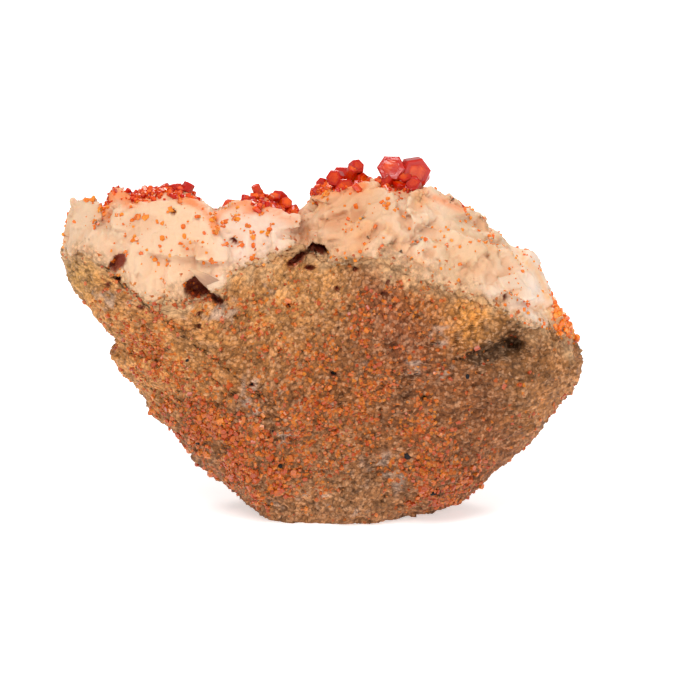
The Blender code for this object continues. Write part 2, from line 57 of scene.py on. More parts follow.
# %% The outline
# x, z, turning once round the specimen.
OUTLINE = np.array([
    (-32.6, 33.1), (-32.0, 36.2), (-31.7, 38.0), (-31.0, 38.7), (-28.6, 38.8), (-27.3, 38.2),
    (-26.3, 39.2), (-24.8, 40.3), (-21.5, 40.6), (-19.3, 40.9), (-17.0, 40.6), (-15.3, 39.7),
    (-13.4, 38.0), (-11.3, 39.2), (-9.5, 39.4), (-7.5, 39.6), (-5.0, 38.7), (-2.4, 37.7),
    (-1.5, 39.4), (-0.3, 40.7), (2.8, 41.6), (4.7, 42.0), (8.5, 41.7), (11.6, 41.5), (14.0, 40.6),
    (16.0, 39.7), (18.0, 38.0), (20.0, 36.0), (22.0, 35.5), (22.8, 34.2), (24.5, 33.1), (26.0, 33.0),
    (27.1, 31.1), (29.1, 27.2), (30.1, 24.9), (31.2, 22.9), (31.9, 20.8), (33.0, 19.2), (32.4, 17.0),
    (30.7, 14.4), (28.3, 11.4), (25.6, 8.0), (22.5, 4.9), (19.7, 2.4), (16.8, 0.8), (12.4, -0.4),
    (9.0, -1.8), (6.0, -3.8), (0.0, -4.6), (-5.0, -3.6), (-8.6, -0.2), (-11.2, 2.2), (-13.8, 4.6),
    (-15.8, 6.0), (-17.3, 8.2), (-19.0, 10.2), (-21.3, 12.0), (-22.2, 14.2), (-23.4, 16.4),
    (-25.9, 19.0), (-26.7, 20.3), (-25.7, 21.4), (-26.2, 22.7), (-28.9, 25.4), (-31.0, 27.6),
    (-32.2, 29.3),
])
SLAB_CENTRE = (1.0, 21.0)


def outline_reach(x, z):
    """Distance from the slab's centre to its outline, in the direction of (x, z)."""
    points = OUTLINE - np.array(SLAB_CENTRE)
    angle = np.arctan2(points[:, 1], points[:, 0])
    order = np.argsort(angle)
    reach = np.hypot(*points.T)[order]
    wanted = np.arctan2(z - SLAB_CENTRE[1], x - SLAB_CENTRE[0])
    return np.interp(wanted, angle[order], reach, period=2 * math.pi)


def rim_share(x, z):
    """0 at the slab's centre, 1 on its outline."""
    return np.hypot(x - SLAB_CENTRE[0], z - SLAB_CENTRE[1]) / outline_reach(x, z)


print("outline points:", len(OUTLINE), "- share at the middle of the top:", rim_share(0.0, 40.0).round(2))

# %% [markdown]
# ## Depth and lumps
# The slab is thickest in its middle and rounds off to its rim, the broken side more squarely than
# the crystal side. Its lumps are a sum of sine waves with the same seed that shaped the solids, so
# that the fine surfaces and the solids lie on each other.

# %% Depth and lumps
FRONT_DEPTH, BACK_DEPTH = 13.2, 13.4
FRONT_SQUARE, BACK_SQUARE = 3.6, 2.4
# Height and length of each set of waves.
WAVES = [(0.55, 17.0), (0.45, 11.0), (0.3, 7.0), (0.22, 4.6)]


def wave_set():
    """Wave vectors and phases of the slab's lumps, the same ones that shaped the solids."""
    chooser = np.random.RandomState(7)
    found = []
    for height, length in WAVES:
        for _ in range(3):
            way = chooser.normal(size=3)
            way *= 2 * math.pi / (length * np.linalg.norm(way))
            found.append((height / 3**0.5, way, chooser.uniform(0, 2 * math.pi)))
    return found


WAVE_SET = wave_set()


def lumps(x, y, z):
    """The sum of all waves: each is height * sin(wave vector . place + phase)."""
    return sum(height * np.sin(w[0] * x + w[1] * y + w[2] * z + phase) for height, w, phase in WAVE_SET)


def bulge(x, z, square):
    """Thickness profile: the square root of 1 - share^square."""
    return np.sqrt(np.clip(1 - rim_share(x, z) ** square, 0, 1))


def side_y(x, z, side):
    """The y of the broken side (side -1) or of the crystal side (side 1): depth and lumps times bulge."""
    depth, square = (FRONT_DEPTH, FRONT_SQUARE) if side < 0 else (BACK_DEPTH, BACK_SQUARE)
    return side * (depth + lumps(x, side * depth, z)) * bulge(x, z, square)


print("deepest front y:", round(float(side_y(0, 20, -1)), 2), "mm")

# %% [markdown]
# ## The crest as the camera sees it
# The photograph looks down a little, so a point far behind the rim shows higher up than the rim
# does. Anything that grows on the hidden side is measured against the outline this way, or it
# would stand up behind the crest and change the outline that the photograph gives.

# %% The share that the camera sees
CAMERA_CLIMB = 13.0


def seen_share(points):
    """The same share for any point, by where it appears to a camera that looks down 13 degrees."""
    return rim_share(points[..., 0], points[..., 2] + math.tan(math.radians(CAMERA_CLIMB)) * points[..., 1])


print("a point 5 mm behind the rim shows at share", seen_share(np.array((0.0, 5.0, 40.0))).round(3))

# %% [markdown]
# ## Soft noise
# Rock needs soft unevenness. Blender's Displace modifier could give it from its own textures, but
# a few lines of numpy give the same on every computer, and let the colours follow the same bumps.
# Soft noise blends the random numbers of a lattice's corners.

# %% Soft noise
def cell_number(cell, seed):
    """A number from 0 to 1 that is random from cell to cell and always the same for one cell."""
    with np.errstate(over="ignore"):
        value = cell[..., 0].astype(np.uint32) * np.uint32(374761393)
        value ^= cell[..., 1].astype(np.uint32) * np.uint32(668265263)
        value ^= cell[..., 2].astype(np.uint32) * np.uint32(2246822519)
        value ^= np.uint32(seed * 3266489917 % 2**32)
        value = (value ^ (value >> np.uint32(15))) * np.uint32(2654435761)
        value = (value ^ (value >> np.uint32(13))) * np.uint32(3266489917)
    return ((value >> np.uint32(8)) & np.uint32(0xFFFF)) / 65535.0


def soft_noise(points, size, seed):
    """Random corner numbers of a lattice, blended with a smooth step. From -1 to 1."""
    place = points / size
    cell = np.floor(place).astype(np.int64)
    part = place - cell
    part = part * part * (3 - 2 * part)
    total = 0.0
    for corner in np.ndindex(2, 2, 2):
        weight = np.prod(np.where(corner, part, 1 - part), axis=-1)
        total = total + weight * cell_number(cell + np.array(corner), seed)
    return 2 * total - 1


def rough_noise(points, size, seed, layers=3):
    """Soft noise plus half as much at half the size, and so on."""
    return sum(soft_noise(points, size / 2**i, seed + i) / 2**i for i in range(layers))


def smooth_step(value, low, high):
    """0 below low, 1 above high, and a smooth S between them."""
    share = np.clip((value - low) / (high - low), 0, 1)
    return share * share * (3 - 2 * share)


test_points = np.random.RandomState(0).uniform(-20, 20, (1000, 3))
test_noise = soft_noise(test_points, 3.0, 1)
print("soft noise from", test_noise.min().round(2), "to", test_noise.max().round(2))

# %% [markdown]
# ## Grains
# A broken rock is made of grains with sharp borders. Each cell of a lattice gets one random
# middle, and every point belongs to its nearest middle. The distance to the next middle tells how
# near the border is, which later becomes a groove.

# %% Grains
def grain_cells(points, size, seed):
    """For each point: distance to its grain's middle and to the next one, offset, and three grain numbers."""
    place = points / size
    cell = np.floor(place).astype(np.int64)
    nearest, second = np.full(len(points), 9.0), np.full(len(points), 9.0)
    offset, numbers = np.zeros_like(place), np.zeros_like(place)
    for step in np.ndindex(3, 3, 3):
        other = cell + np.array(step) - 1
        random = np.stack([cell_number(other, seed + i) for i in range(3)], axis=-1)
        gap = place - other - random
        distance = np.linalg.norm(gap, axis=-1)
        closer = distance < nearest
        second = np.where(closer, nearest, np.minimum(second, distance))
        nearest = np.where(closer, distance, nearest)
        offset[closer], numbers[closer] = gap[closer], random[closer]
    return nearest, second, offset, numbers


print("mean distance to a grain's middle:", grain_cells(test_points, 1.0, 1)[0].mean().round(2), "grain sizes")

# %% [markdown]
# ## Where crust meets rock
# On the broken side the pale crust ends along a wavy line, and behind that line its underside dips
# towards the back. The two could be cut from each other with a Boolean. Here each piece is the
# part of the slab between two surfaces, front(x, z) and back(x, z), so they meet without a cut.

# %% The boundary
# x, z of the border on the broken side.
CRUST_EDGE = np.array([
    (-33.0, 33.2), (-31.4, 34.2), (-30.0, 34.9), (-28.5, 34.2), (-26.8, 33.2), (-24.8, 31.6),
    (-23.4, 30.0), (-21.8, 29.1), (-19.3, 29.4), (-16.8, 29.4), (-14.4, 30.0), (-12.3, 31.4),
    (-11.0, 32.6), (-8.2, 34.0), (-5.7, 34.7), (-2.7, 35.6), (0.4, 35.0), (1.6, 34.2), (4.7, 34.8),
    (6.5, 35.0), (9.0, 34.0), (11.5, 32.5), (13.9, 30.9), (17.0, 30.1), (19.5, 29.4), (21.9, 27.9),
    (24.4, 26.3), (26.9, 25.3), (29.4, 23.8), (31.9, 22.4), (34.0, 21.0),
])
CRUST_DIP = 0.62
CRUST_SINK = 0.7


def crust_edge(x):
    return np.interp(x, CRUST_EDGE[:, 0], CRUST_EDGE[:, 1])


def underside_y(x, z):
    """The surface between crust and rock: from the front at the edge, back by 1 / dip for each mm down."""
    edge = crust_edge(x)
    flat = np.stack([x, z, np.zeros_like(x)], axis=-1)
    wander = 0.5 * soft_noise(flat, 3.1, 40) + 0.3 * soft_noise(flat, 1.3, 41)
    return side_y(x, edge, -1) + (edge + wander - z) / CRUST_DIP


def rock_front(x, z):
    return side_y(x, z, -1)


def rock_back(x, z):
    return np.minimum(side_y(x, z, 1), underside_y(x, z))


def crust_front(x, z):
    """Level with the rock at the edge, and 0.5 mm proud of the slab from 4 mm above it."""
    proud = 0.5 * smooth_step(z - crust_edge(x), 0.3, 4.0)
    return np.maximum(side_y(x, z, -1) - proud, underside_y(x, z) - CRUST_SINK)


def crust_back(x, z):
    return side_y(x, z, 1) + 1.2 * bulge(x, z, BACK_SQUARE)


print("crust edge at x = 0:", round(float(crust_edge(0.0)), 2), "mm up")

# %% [markdown]
# ## The border of colours
# The two minerals interlock as they grew, so the colours change over a few millimetres and in
# mottles, not along a line. The crust's edge on the far side comes from its dipping underside.

# %% How much of a point is crust
def find_far_edge():
    """For a row of x: the lowest z at which the underside is still in front of the crystal side."""
    x, z = np.meshgrid(np.linspace(-33, 33, 133), np.linspace(8, 38, 301), indexing="ij")
    inside = (underside_y(x, z) < side_y(x, z, 1)) & (rim_share(x, z) < 1)
    return x[:, 0], z[0, np.argmax(inside, axis=1)]


FAR_EDGE = find_far_edge()


def crust_share(points, low=-2.0, high=2.4):
    """0 in the rock and 1 in the crust: a mottled border from low to high mm above the edge of the crust."""
    edge = np.where(points[:, 1] < 0, crust_edge(points[:, 0]), np.interp(points[:, 0], *FAR_EDGE))
    mottle = 1.5 * rough_noise(points, 2.6, 44, 2) + 0.9 * soft_noise(points, 0.8, 47)
    return smooth_step(points[:, 2] - edge + mottle, low, high)


print("far edge at x = 0:", np.interp(0, *FAR_EDGE).round(1), "mm up")

# %% [markdown]
# ## A lattice bent into the outline
# A grid laid straight over an uneven outline would have a ragged rim. So a square lattice is bent
# into the outline: its rings of squares become rings inside the rim, closer together where the
# surface turns away.

# %% Lattice and rim
def bent_lattice(cells, crowded_from=0.85):
    """A lattice of the square from -1 to 1: each point's share of the way out, and its turn from 0 to 1."""
    line = np.linspace(-1, 1, cells + 1)
    a, b = np.meshgrid(line, line, indexing="ij")
    a, b = a.ravel(), b.ravel()
    wide = np.abs(a) > np.abs(b)
    main = np.where(wide, a, b)
    ratio = np.where(wide, b, -a) / np.where(main == 0, 1, main)
    turn = ratio * math.pi / 4 + np.where(wide, 0, math.pi / 2) + np.where(main < 0, math.pi, 0)
    out = np.abs(main)
    slope = 2 / (1 + crowded_from)
    crowded = 1 - slope / (2 * (1 - crowded_from)) * (1 - out) ** 2
    return np.where(out < crowded_from, slope * out, crowded), np.mod(turn / (2 * math.pi), 1), out > 1 - 1e-9


def rim_of(centre, front, back):
    """Angles about a centre, and the distance at which the piece between the two surfaces ends."""
    angle = np.linspace(0, 2 * math.pi, 1441)
    step = np.arange(0.05, 48.0, 0.05)
    x = centre[0] + np.outer(np.cos(angle), step)
    z = centre[1] + np.outer(np.sin(angle), step)
    gone = (rim_share(x, z) >= 0.9995) | (back(x, z) <= front(x, z) + 0.02)
    return angle, step[np.argmax(gone, axis=1)]


print("points on the rim of a small lattice:", int(bent_lattice(8)[2].sum()))

# %% [markdown]
# ## From two surfaces to one closed mesh
# The front and the back sheet share their rim points, which closes the piece without any merging.
# Normals come from the faces round each point, and the relief is later added along them.

# %% Closed sheets
def closed_sheets(cells, centre, front, back):
    """Points and squares of the closed piece between front(x, z) and back(x, z)."""
    out, turn, on_rim = bent_lattice(cells)
    angle, reach = rim_of(centre, front, back)
    run = np.hypot(np.diff(reach * np.cos(angle)), np.diff(reach * np.sin(angle)))
    run = np.concatenate([[0], np.cumsum(run)])
    even = np.interp(turn, run / run[-1], angle)
    distance = out * np.interp(even, angle, reach)
    x, z = centre[0] + distance * np.cos(even), centre[1] + distance * np.sin(even)
    y_front, y_back = front(x, z), back(x, z)
    y_front = np.where(on_rim, (y_front + y_back) / 2, y_front)
    number = np.arange((cells + 1) ** 2).reshape(cells + 1, cells + 1)
    inner = ~on_rim
    twin = number.ravel().copy()
    twin[inner] = len(twin) + np.arange(inner.sum())
    twin = twin.reshape(number.shape)
    points = np.concatenate([np.stack([x, y_front, z], 1), np.stack([x, y_back, z], 1)[inner]])
    corners = [(0, 0), (1, 0), (1, 1), (0, 1)]
    pick = [(slice(i, cells + i), slice(j, cells + j)) for i, j in corners]
    ahead = np.stack([number[p].ravel() for p in pick], 1)
    behind = np.stack([twin[p].ravel() for p in reversed(pick)], 1)
    return points, np.concatenate([ahead, behind])


def point_normals(points, faces):
    """Average of the normals of the faces round each point, weighted by their area."""
    across = points[faces[:, 2]] - points[faces[:, 0]]
    along = points[faces[:, -1]] - points[faces[:, 1]]
    normal = np.cross(across, along)
    total = np.stack([
        sum(np.bincount(faces[:, i], normal[:, axis], len(points)) for i in range(faces.shape[1]))
        for axis in range(3)
    ], 1)
    return total / np.maximum(np.linalg.norm(total, axis=1, keepdims=True), 1e-12)


print("squares in a small closed piece:", len(closed_sheets(8, (-4.0, 14.0), rock_front, rock_back)[1]))

# %% [markdown]
# ## Meshes from whole arrays
# Blender can build a mesh point by point, which is slow for a hundred thousand points. The foreach
# calls hand over a whole array at once. Each object stays at the origin, unturned and unscaled,
# and only its mesh holds the place, moved once in depth to fit the solids.

# %% Objects from arrays
SHIFT_Y = -2.1


def in_metres(points):
    """Points in mm as Blender stores them: moved in depth, in metres, in one row."""
    return ((points + (0, SHIFT_Y, 0)) * MM).astype(np.float32).ravel()


def object_from(name, points, faces, smooth=True):
    """Puts points (mm, before the shift in depth) and equal-sided faces into a new mesh object."""
    mesh = bpy.data.meshes.new(name)
    sides = faces.shape[1]
    mesh.vertices.add(len(points))
    mesh.vertices.foreach_set("co", in_metres(points))
    mesh.loops.add(faces.size)
    mesh.loops.foreach_set("vertex_index", faces.astype(np.int32).ravel())
    mesh.polygons.add(len(faces))
    mesh.polygons.foreach_set("loop_start", np.arange(0, faces.size, sides, dtype=np.int32))
    mesh.polygons.foreach_set("use_smooth", np.full(len(faces), smooth))
    mesh.update(calc_edges=True)
    obj = bpy.data.objects.new(name, mesh)
    bpy.context.scene.collection.objects.link(obj)
    return obj


def set_points(obj, points):
    obj.data.vertices.foreach_set("co", in_metres(points))
    obj.data.update()


print("all meshes are moved", SHIFT_Y, "mm in y")

# %% [markdown]
# ## Reading meshes back
# The lesson also asks finished meshes for their points and triangles, to grow crystals on them.
# Colours and other numbers are stored at the points, where a material can read them. A vertex
# group could hold a number too, but not a colour.

# %% Arrays from objects, and values at points
def points_of(obj):
    """An object's points in mm, before the shift in depth, as the lesson counts them."""
    flat = np.empty(len(obj.data.vertices) * 3, np.float32)
    obj.data.vertices.foreach_get("co", flat)
    return flat.reshape(-1, 3).astype(float) / MM - (0, SHIFT_Y, 0)


def triangles_of(obj):
    obj.data.calc_loop_triangles()
    flat = np.empty(len(obj.data.loop_triangles) * 3, np.int32)
    obj.data.loop_triangles.foreach_get("vertices", flat)
    return flat.reshape(-1, 3)


def set_attribute(obj, name, values):
    """Stores a number (or a colour, as three numbers) at each point, for the materials to read."""
    attributes = obj.data.attributes
    if values.ndim == 1:
        attributes.new(name, "FLOAT", "POINT").data.foreach_set("value", values.astype(np.float32))
    else:
        colour = np.concatenate([values, np.ones((len(values), 1))], 1).astype(np.float32)
        attributes.new(name, "FLOAT_COLOR", "POINT").data.foreach_set("color", colour.ravel())


def apply_modifiers(obj):
    graph = bpy.context.evaluated_depsgraph_get()
    mesh = bpy.data.meshes.new_from_object(obj.evaluated_get(graph))
    obj.modifiers.clear()
    obj.data = mesh


print("values at points are stored as", np.dtype(np.float32).name)

# %% [markdown]
# ## What each piece stands for
# Every piece of the specimen rides on its one rigid body. Where it is the finer form of a solid it
# says which one, so that the two are never shown together.

# %% Dress a piece
def dress(obj, material, slot, *nodes):
    """Gives a piece its material and the body it belongs to, and hides the solids it stands for. The slot is not
    used.
    """
    obj.data.materials.clear()
    obj.data.materials.append(material)
    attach(obj, "root")
    if nodes:
        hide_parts(*nodes)
    print(obj.name, "-", len(triangles_of(obj)), "triangles")


print("solids that the pieces stand for:", len(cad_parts))

# %% [markdown]
# ## Crystals and blades as templates
# Both minerals repeat one simple form. Vanadinite grows six-sided prisms with bevelled ends, and
# barite grows flat blades with bevelled rims. Both are rings round an axis, closed by two caps,
# like a lathe or a Screw modifier would give, but as plain arrays.

# %% Templates
def turned_template(sides, profile):
    """A closed shape from rings round +Z. Each profile entry is (width, height); both ends get a cap."""
    angle = 2 * math.pi * np.arange(sides) / sides
    circle = np.stack([np.cos(angle), np.sin(angle), np.zeros(sides)], 1)
    rings = [circle * (width, width, 0) + (0, 0, height) for width, height in profile]
    points = np.concatenate([[(0, 0, profile[0][1])], *rings, [(0, 0, profile[-1][1])]])
    first = 1 + sides * np.arange(len(profile))
    here, there = np.arange(sides), (np.arange(sides) + 1) % sides
    faces = [np.stack([np.zeros(sides, int), 1 + there, 1 + here], 1)]
    for low, high in zip(first, first[1:]):
        faces.append(np.stack([low + here, low + there, high + there], 1))
        faces.append(np.stack([low + here, high + there, high + here], 1))
    last = np.full(sides, len(points) - 1)
    faces.append(np.stack([last, first[-1] + here, first[-1] + there], 1))
    return points, np.concatenate(faces)


TINY_PRISM = turned_template(6, [(1.0, -0.5), (0.92, 0.5)])
FINE_PRISM = turned_template(6, [(0.9, -0.5), (1.0, -0.42), (1.0, 0.4), (0.9, 0.5), (0.6, 0.5), (0.56, 0.53)])
print("tiny prism:", len(TINY_PRISM[1]), "triangles, fine prism:", len(FINE_PRISM[1]))

# %% [markdown]
# ## Many copies in one mesh
# An instance for each crystal would be light, but the specimen has to be real mesh. So one
# template is copied with array maths: every copy gets its own size, turn and place, and all copies
# go into one mesh.

# %% Copies
def axis_frames(axes, turns):
    """For each axis, a 3 x 3 matrix whose third column is the axis, turned about it by turns (radians)."""
    axes = axes / np.linalg.norm(axes, axis=1, keepdims=True)
    helper = np.where(np.abs(axes[:, 2:3]) < 0.9, [[0.0, 0.0, 1.0]], [[1.0, 0.0, 0.0]])
    side = np.cross(helper, axes)
    side /= np.linalg.norm(side, axis=1, keepdims=True)
    other = np.cross(axes, side)
    c, s = np.cos(turns)[:, None], np.sin(turns)[:, None]
    return np.stack([side * c + other * s, other * c - side * s, axes], axis=2)


def copies(template, places, frames, sizes):
    """All copies of a template as one set of points and faces. Sizes are (x, y, z) factors for each."""
    points, faces = template
    shaped = points[None] * sizes[:, None, :]
    placed = np.einsum("nij,nvj->nvi", frames, shaped) + places[:, None, :]
    joined = faces[None] + (np.arange(len(places)) * len(points))[:, None, None]
    return placed.reshape(-1, 3), joined.reshape(-1, 3)


def join_sets(*sets):
    """One set of points and faces from several."""
    start, points, faces = 0, [], []
    for these_points, these_faces in sets:
        points.append(these_points)
        faces.append(these_faces + start)
        start += len(these_points)
    return np.concatenate(points), np.concatenate(faces)


print("two prisms joined:", len(join_sets(TINY_PRISM, TINY_PRISM)[1]), "triangles")

# %% [markdown]
# ## Materials from nodes
# A finish is a small tree of nodes before the Principled BSDF. The helpers add a node and feed its
# inputs, either with a fixed value or with the output of another node. Patterns read the object's
# own coordinates, so they stay put when the specimen is moved.

# %% Node helpers
def node_material(name):
    material = bpy.data.materials.new(name)
    material.use_nodes = True
    tree = material.node_tree
    return material, tree, tree.nodes["Principled BSDF"]


def feed(tree, node, inputs):
    """Sets each named or numbered input of a node, or links it where the value is a node's output."""
    for name, value in inputs.items():
        if isinstance(value, bpy.types.NodeSocket):
            tree.links.new(value, node.inputs[name])
        else:
            node.inputs[name].default_value = value


def new_node(tree, kind, inputs, **settings):
    """A new shader node of one kind, with its inputs fed and its settings made."""
    node = tree.nodes.new("ShaderNode" + kind)
    for name, value in settings.items():
        setattr(node, name, value)
    feed(tree, node, inputs)
    return node


def point_value(tree, name, output="Fac"):
    """What the points of a piece carry under a name."""
    return new_node(tree, "Attribute", {}, attribute_name=name).outputs[output]


def noise_node(tree, scale, detail, roughness=0.6):
    """Noise in object space. Scale counts bumps for each metre."""
    place = new_node(tree, "TexCoord", {}).outputs["Object"]
    return new_node(tree, "TexNoise", {"Vector": place, "Scale": scale, "Detail": detail, "Roughness": roughness})


print("node helpers are ready for Blender", bpy.app.version_string)

# %% [markdown]
# ## Sums and mixes of nodes
# Node trees get long because each multiplication or mix is a node of its own. With a helper for
# each kind, a finish can be written almost like a formula, and the file keeps its order.

# %% Helpers for sums and mixes
def mapped(tree, value, low, high, new_low, new_high):
    inputs = {"Value": value, "From Min": low, "From Max": high, "To Min": new_low, "To Max": new_high}
    return new_node(tree, "MapRange", inputs).outputs["Result"]


def math_node(tree, operation, *values):
    return new_node(tree, "Math", dict(enumerate(values)), operation=operation).outputs[0]


def product(tree, *values):
    """All values multiplied, two by two."""
    result = values[0]
    for value in values[1:]:
        result = math_node(tree, "MULTIPLY", result, value)
    return result


def blend(tree, share, one, other):
    """one * (1 - share) + other * share."""
    return new_node(tree, "Mix", {"Factor": share, "A": one, "B": other}).outputs[0]


def mixed_colour(tree, share, one, other):
    """The same blend for colours."""
    return new_node(tree, "Mix", {"Factor": share, "A": one, "B": other}, data_type="RGBA").outputs["Result"]


def scaled_colour(tree, colour, factor):
    """A colour times a number."""
    return new_node(tree, "VectorMath", {0: colour, "Scale": factor}, operation="SCALE").outputs[0]


def add_bump(tree, shader, height, distance, strength=1.0):
    bump = new_node(tree, "Bump", {"Height": height, "Distance": distance, "Strength": strength})
    feed(tree, shader, {"Normal": bump.outputs["Normal"]})


print("the helpers add nodes of these kinds: MapRange, Math, Mix, VectorMath and Bump")

# %% [markdown]
# ## The finish of rock and barite
# The real rock is tan where it is limonite, red-brown where it is iron oxide and pale where barite
# shows through, and every grain differs a little. An image could hold that. Here the points of the
# mesh carry the broad colours, and the shader only adds what is finer than the mesh: small grains,
# some of them vanadinite. Barite is translucent, so light scatters in it.

# %% Stone
# Size of a grain in mm, and how far noise bends its border, in metres.
SHADER_GRAIN = 0.42
GRAIN_WAVER = 0.0004
PALE_GRAIN = (0.58, 0.36, 0.22, 1)
DEEP_GRAIN, BRIGHT_GRAIN = (0.44, 0.070, 0.009, 1), (0.60, 0.18, 0.018, 1)


def small_grains(tree):
    """Voronoi cells bent a little by noise. Each cell's random colour gives three numbers."""
    place = new_node(tree, "TexCoord", {}).outputs["Object"]
    waver = noise_node(tree, 2200, 2.0).outputs["Color"]
    bent = new_node(tree, "VectorMath", {0: waver, 1: (GRAIN_WAVER,) * 3, 2: place}, operation="MULTIPLY_ADD")
    cells = new_node(tree, "TexVoronoi", {"Scale": 1 / (SHADER_GRAIN * MM), "Vector": bent.outputs[0]}).outputs
    return cells["Distance"], new_node(tree, "SeparateColor", {0: cells["Color"]}).outputs


def stone_material(name, glow, roughness, sheen):
    """Stone from the points' own colours, with shader grains where they are gritty.

    The three numbers of a grain are its shade, its chance of being vanadinite, and how bright
    that is. The attributes grit and druse say how much of this shows.
    """
    material, tree, shader = node_material(name)
    distance, numbers = small_grains(tree)
    fine = noise_node(tree, 5200, 4.0, 0.7).outputs["Fac"]
    grit = point_value(tree, "grit")
    shade = mapped(tree, numbers["Red"], 0, 1, 0.7, 1.28)
    border = mapped(tree, distance, 0.45, 0.8, 1.0, 0.55)
    speckle = mapped(tree, fine, 0.3, 0.7, 0.78, 1.24)
    plain = mapped(tree, fine, 0.3, 0.7, 0.96, 1.04)
    paler = product(tree, mapped(tree, numbers["Red"], 0.45, 1.0, 0.0, 0.34), grit)
    ground = mixed_colour(tree, paler, point_value(tree, "tint", "Color"), PALE_GRAIN)
    ground = scaled_colour(tree, ground, blend(tree, grit, plain, product(tree, shade, border, speckle)))
    orange = scaled_colour(tree, mixed_colour(tree, numbers["Blue"], DEEP_GRAIN, BRIGHT_GRAIN), speckle)
    is_orange = math_node(tree, "LESS_THAN", numbers["Green"], point_value(tree, "druse"))
    rough = mapped(tree, numbers["Red"], 0, 1, *roughness)
    feed(tree, shader, {
        "Base Color": mixed_colour(tree, product(tree, is_orange, border), ground, orange),
        "Roughness": blend(tree, is_orange, rough, 0.3), "Specular IOR Level": sheen, "IOR": 1.5,
        "Subsurface Weight": glow, "Subsurface Radius": (1.0, 0.5, 0.3), "Subsurface Scale": 0.0014,
    })
    height = product(tree, mapped(tree, distance, 0, 0.8, 1.0, 0.0), grit)
    add_bump(tree, shader, math_node(tree, "ADD", height, fine), 0.00011)
    return material


ROCK = stone_material("granular_brown_rock", 0.0, (0.4, 0.8), 0.22)
BARITE = stone_material("pink_translucent_barite", 0.4, (0.35, 0.55), 0.4)
THIN_BARITE = stone_material("thin_barite_blades", 0.1, (0.3, 0.5), 0.4)
print("stones:", [m.name for m in (ROCK, BARITE, THIN_BARITE)])

# %% [markdown]
# ## The finish of the crystals
# Vanadinite is glassy, lets some light in and turns from deep red to orange as it gets thinner.
# Full refraction would be slow and noisy for thousands of crystals, so a little subsurface light
# stands in for it, and each crystal carries a tone between the two colours.

# %% Vanadinite
def vanadinite_material(name, deep, glow, roughness=0.1):
    """Deep is the colour of dark crystals and glow that of bright ones, by each one's tone."""
    material, tree, shader = node_material(name)
    clouds = noise_node(tree, 700, 3.0).outputs["Fac"]
    tone = math_node(tree, "ADD", point_value(tree, "tone"), mapped(tree, clouds, 0.3, 0.7, -0.35, 0.35))
    feed(tree, shader, {
        "Base Color": mixed_colour(tree, tone, (*deep, 1), (*glow, 1)), "Roughness": roughness, "IOR": 1.55,
        "Subsurface Weight": 0.35, "Subsurface Radius": (1.0, 0.2, 0.04), "Subsurface Scale": 0.0008,
    })
    add_bump(tree, shader, clouds, 0.00006, 0.6)
    return material


RED = vanadinite_material("deep_red_vanadinite", (0.50, 0.010, 0.001), (0.92, 0.13, 0.006))
AMBER = vanadinite_material("amber_vanadinite", (0.74, 0.125, 0.008), (0.92, 0.28, 0.024), 0.25)
ORANGE = vanadinite_material("orange_vanadinite_in_rock", (0.40, 0.058, 0.006), (0.66, 0.19, 0.018), 0.38)
print("crystal finishes:", [m.name for m in (RED, AMBER, ORANGE)])

# %% [markdown]
# ## Broken grains of the rock
# The rock is a mass of grains about a millimetre across, broken open. A noise texture would roll
# softly. Here each grain gets its own height and tilt, so the broken face sparkles in facets.

# %% The relief of the rock
def facet_relief(points, size, seed, tilt, step, groove):
    """Relief of broken grains: each has a random height and slope, and a groove runs between them."""
    nearest, second, offset, numbers = grain_cells(points, size, seed)
    slope = np.sum(offset * (numbers - 0.5), axis=1) * 2
    crack = np.clip(1 - (second - nearest) / 0.18, 0, 1)
    return step * (numbers[:, 0] - 0.5) + tilt * slope - groove * crack, numbers, crack


def rock_relief(points):
    """Broad swell, then grains of 1.4 and 0.7 mm. Also gives how deep in a crack a point lies."""
    swell = 0.4 * rough_noise(points, 5.0, 17, 3)
    coarse, numbers, coarse_crack = facet_relief(points, 1.4, 11, 0.34, 0.26, 0.1)
    small, _, small_crack = facet_relief(points, 0.7, 14, 0.22, 0.2, 0.06)
    return swell + coarse + small, numbers, np.maximum(coarse_crack, small_crack)


print("rock relief up to", rock_relief(test_points)[0].max().round(2), "mm")

# %% [markdown]
# ## Cleavage steps of the barite
# Barite breaks in long flat steps. The same grains are used, but in a space squeezed along one
# direction, so that they come out long. Their direction changes from upright on the left to
# slanting on the right, and the large plates stay smooth.

# %% The relief of the barite
def along_blades(points, angle, stretch):
    """Points in a space squeezed along one direction of the x-z plane, so that grains come out long."""
    cosine, sine = math.cos(math.radians(angle)), math.sin(math.radians(angle))
    long_way = (points[:, 0] * cosine + points[:, 2] * sine) / stretch
    across = points[:, 2] * cosine - points[:, 0] * sine
    return np.stack([long_way, points[:, 1], across], 1) + 0.3 * soft_noise(points, 2.4, 48)[:, None]


def barite_relief(points):
    """Long cleavage steps: upright ones on the left of x = -6, slanting ones on the right."""
    left = smooth_step(-points[:, 0], 3, 9)
    relief, weights = 0.0, ((left, 84, 0), (1 - left, 46, 4))
    for share, angle, seed in weights:
        squeezed = along_blades(points, angle, 3.6)
        for size, tilt, step in ((2.6, 0.6, 0.6), (1.1, 0.26, 0.2)):
            relief = relief + share * facet_relief(squeezed, size, 83 + seed, tilt, step, 0.0)[0]
    return relief + 0.25 * rough_noise(points, 3.4, 88, 2)


def near_spots(points, spots):
    """The sum of weight * exp(-(distance / radius)^2) over spots of (x, z, radius, weight), seen from the front."""
    flat = points[:, [0, 2]]
    return sum(weight * np.exp(-np.sum((flat - (x, z)) ** 2, 1) / radius**2) for x, z, radius, weight in spots)


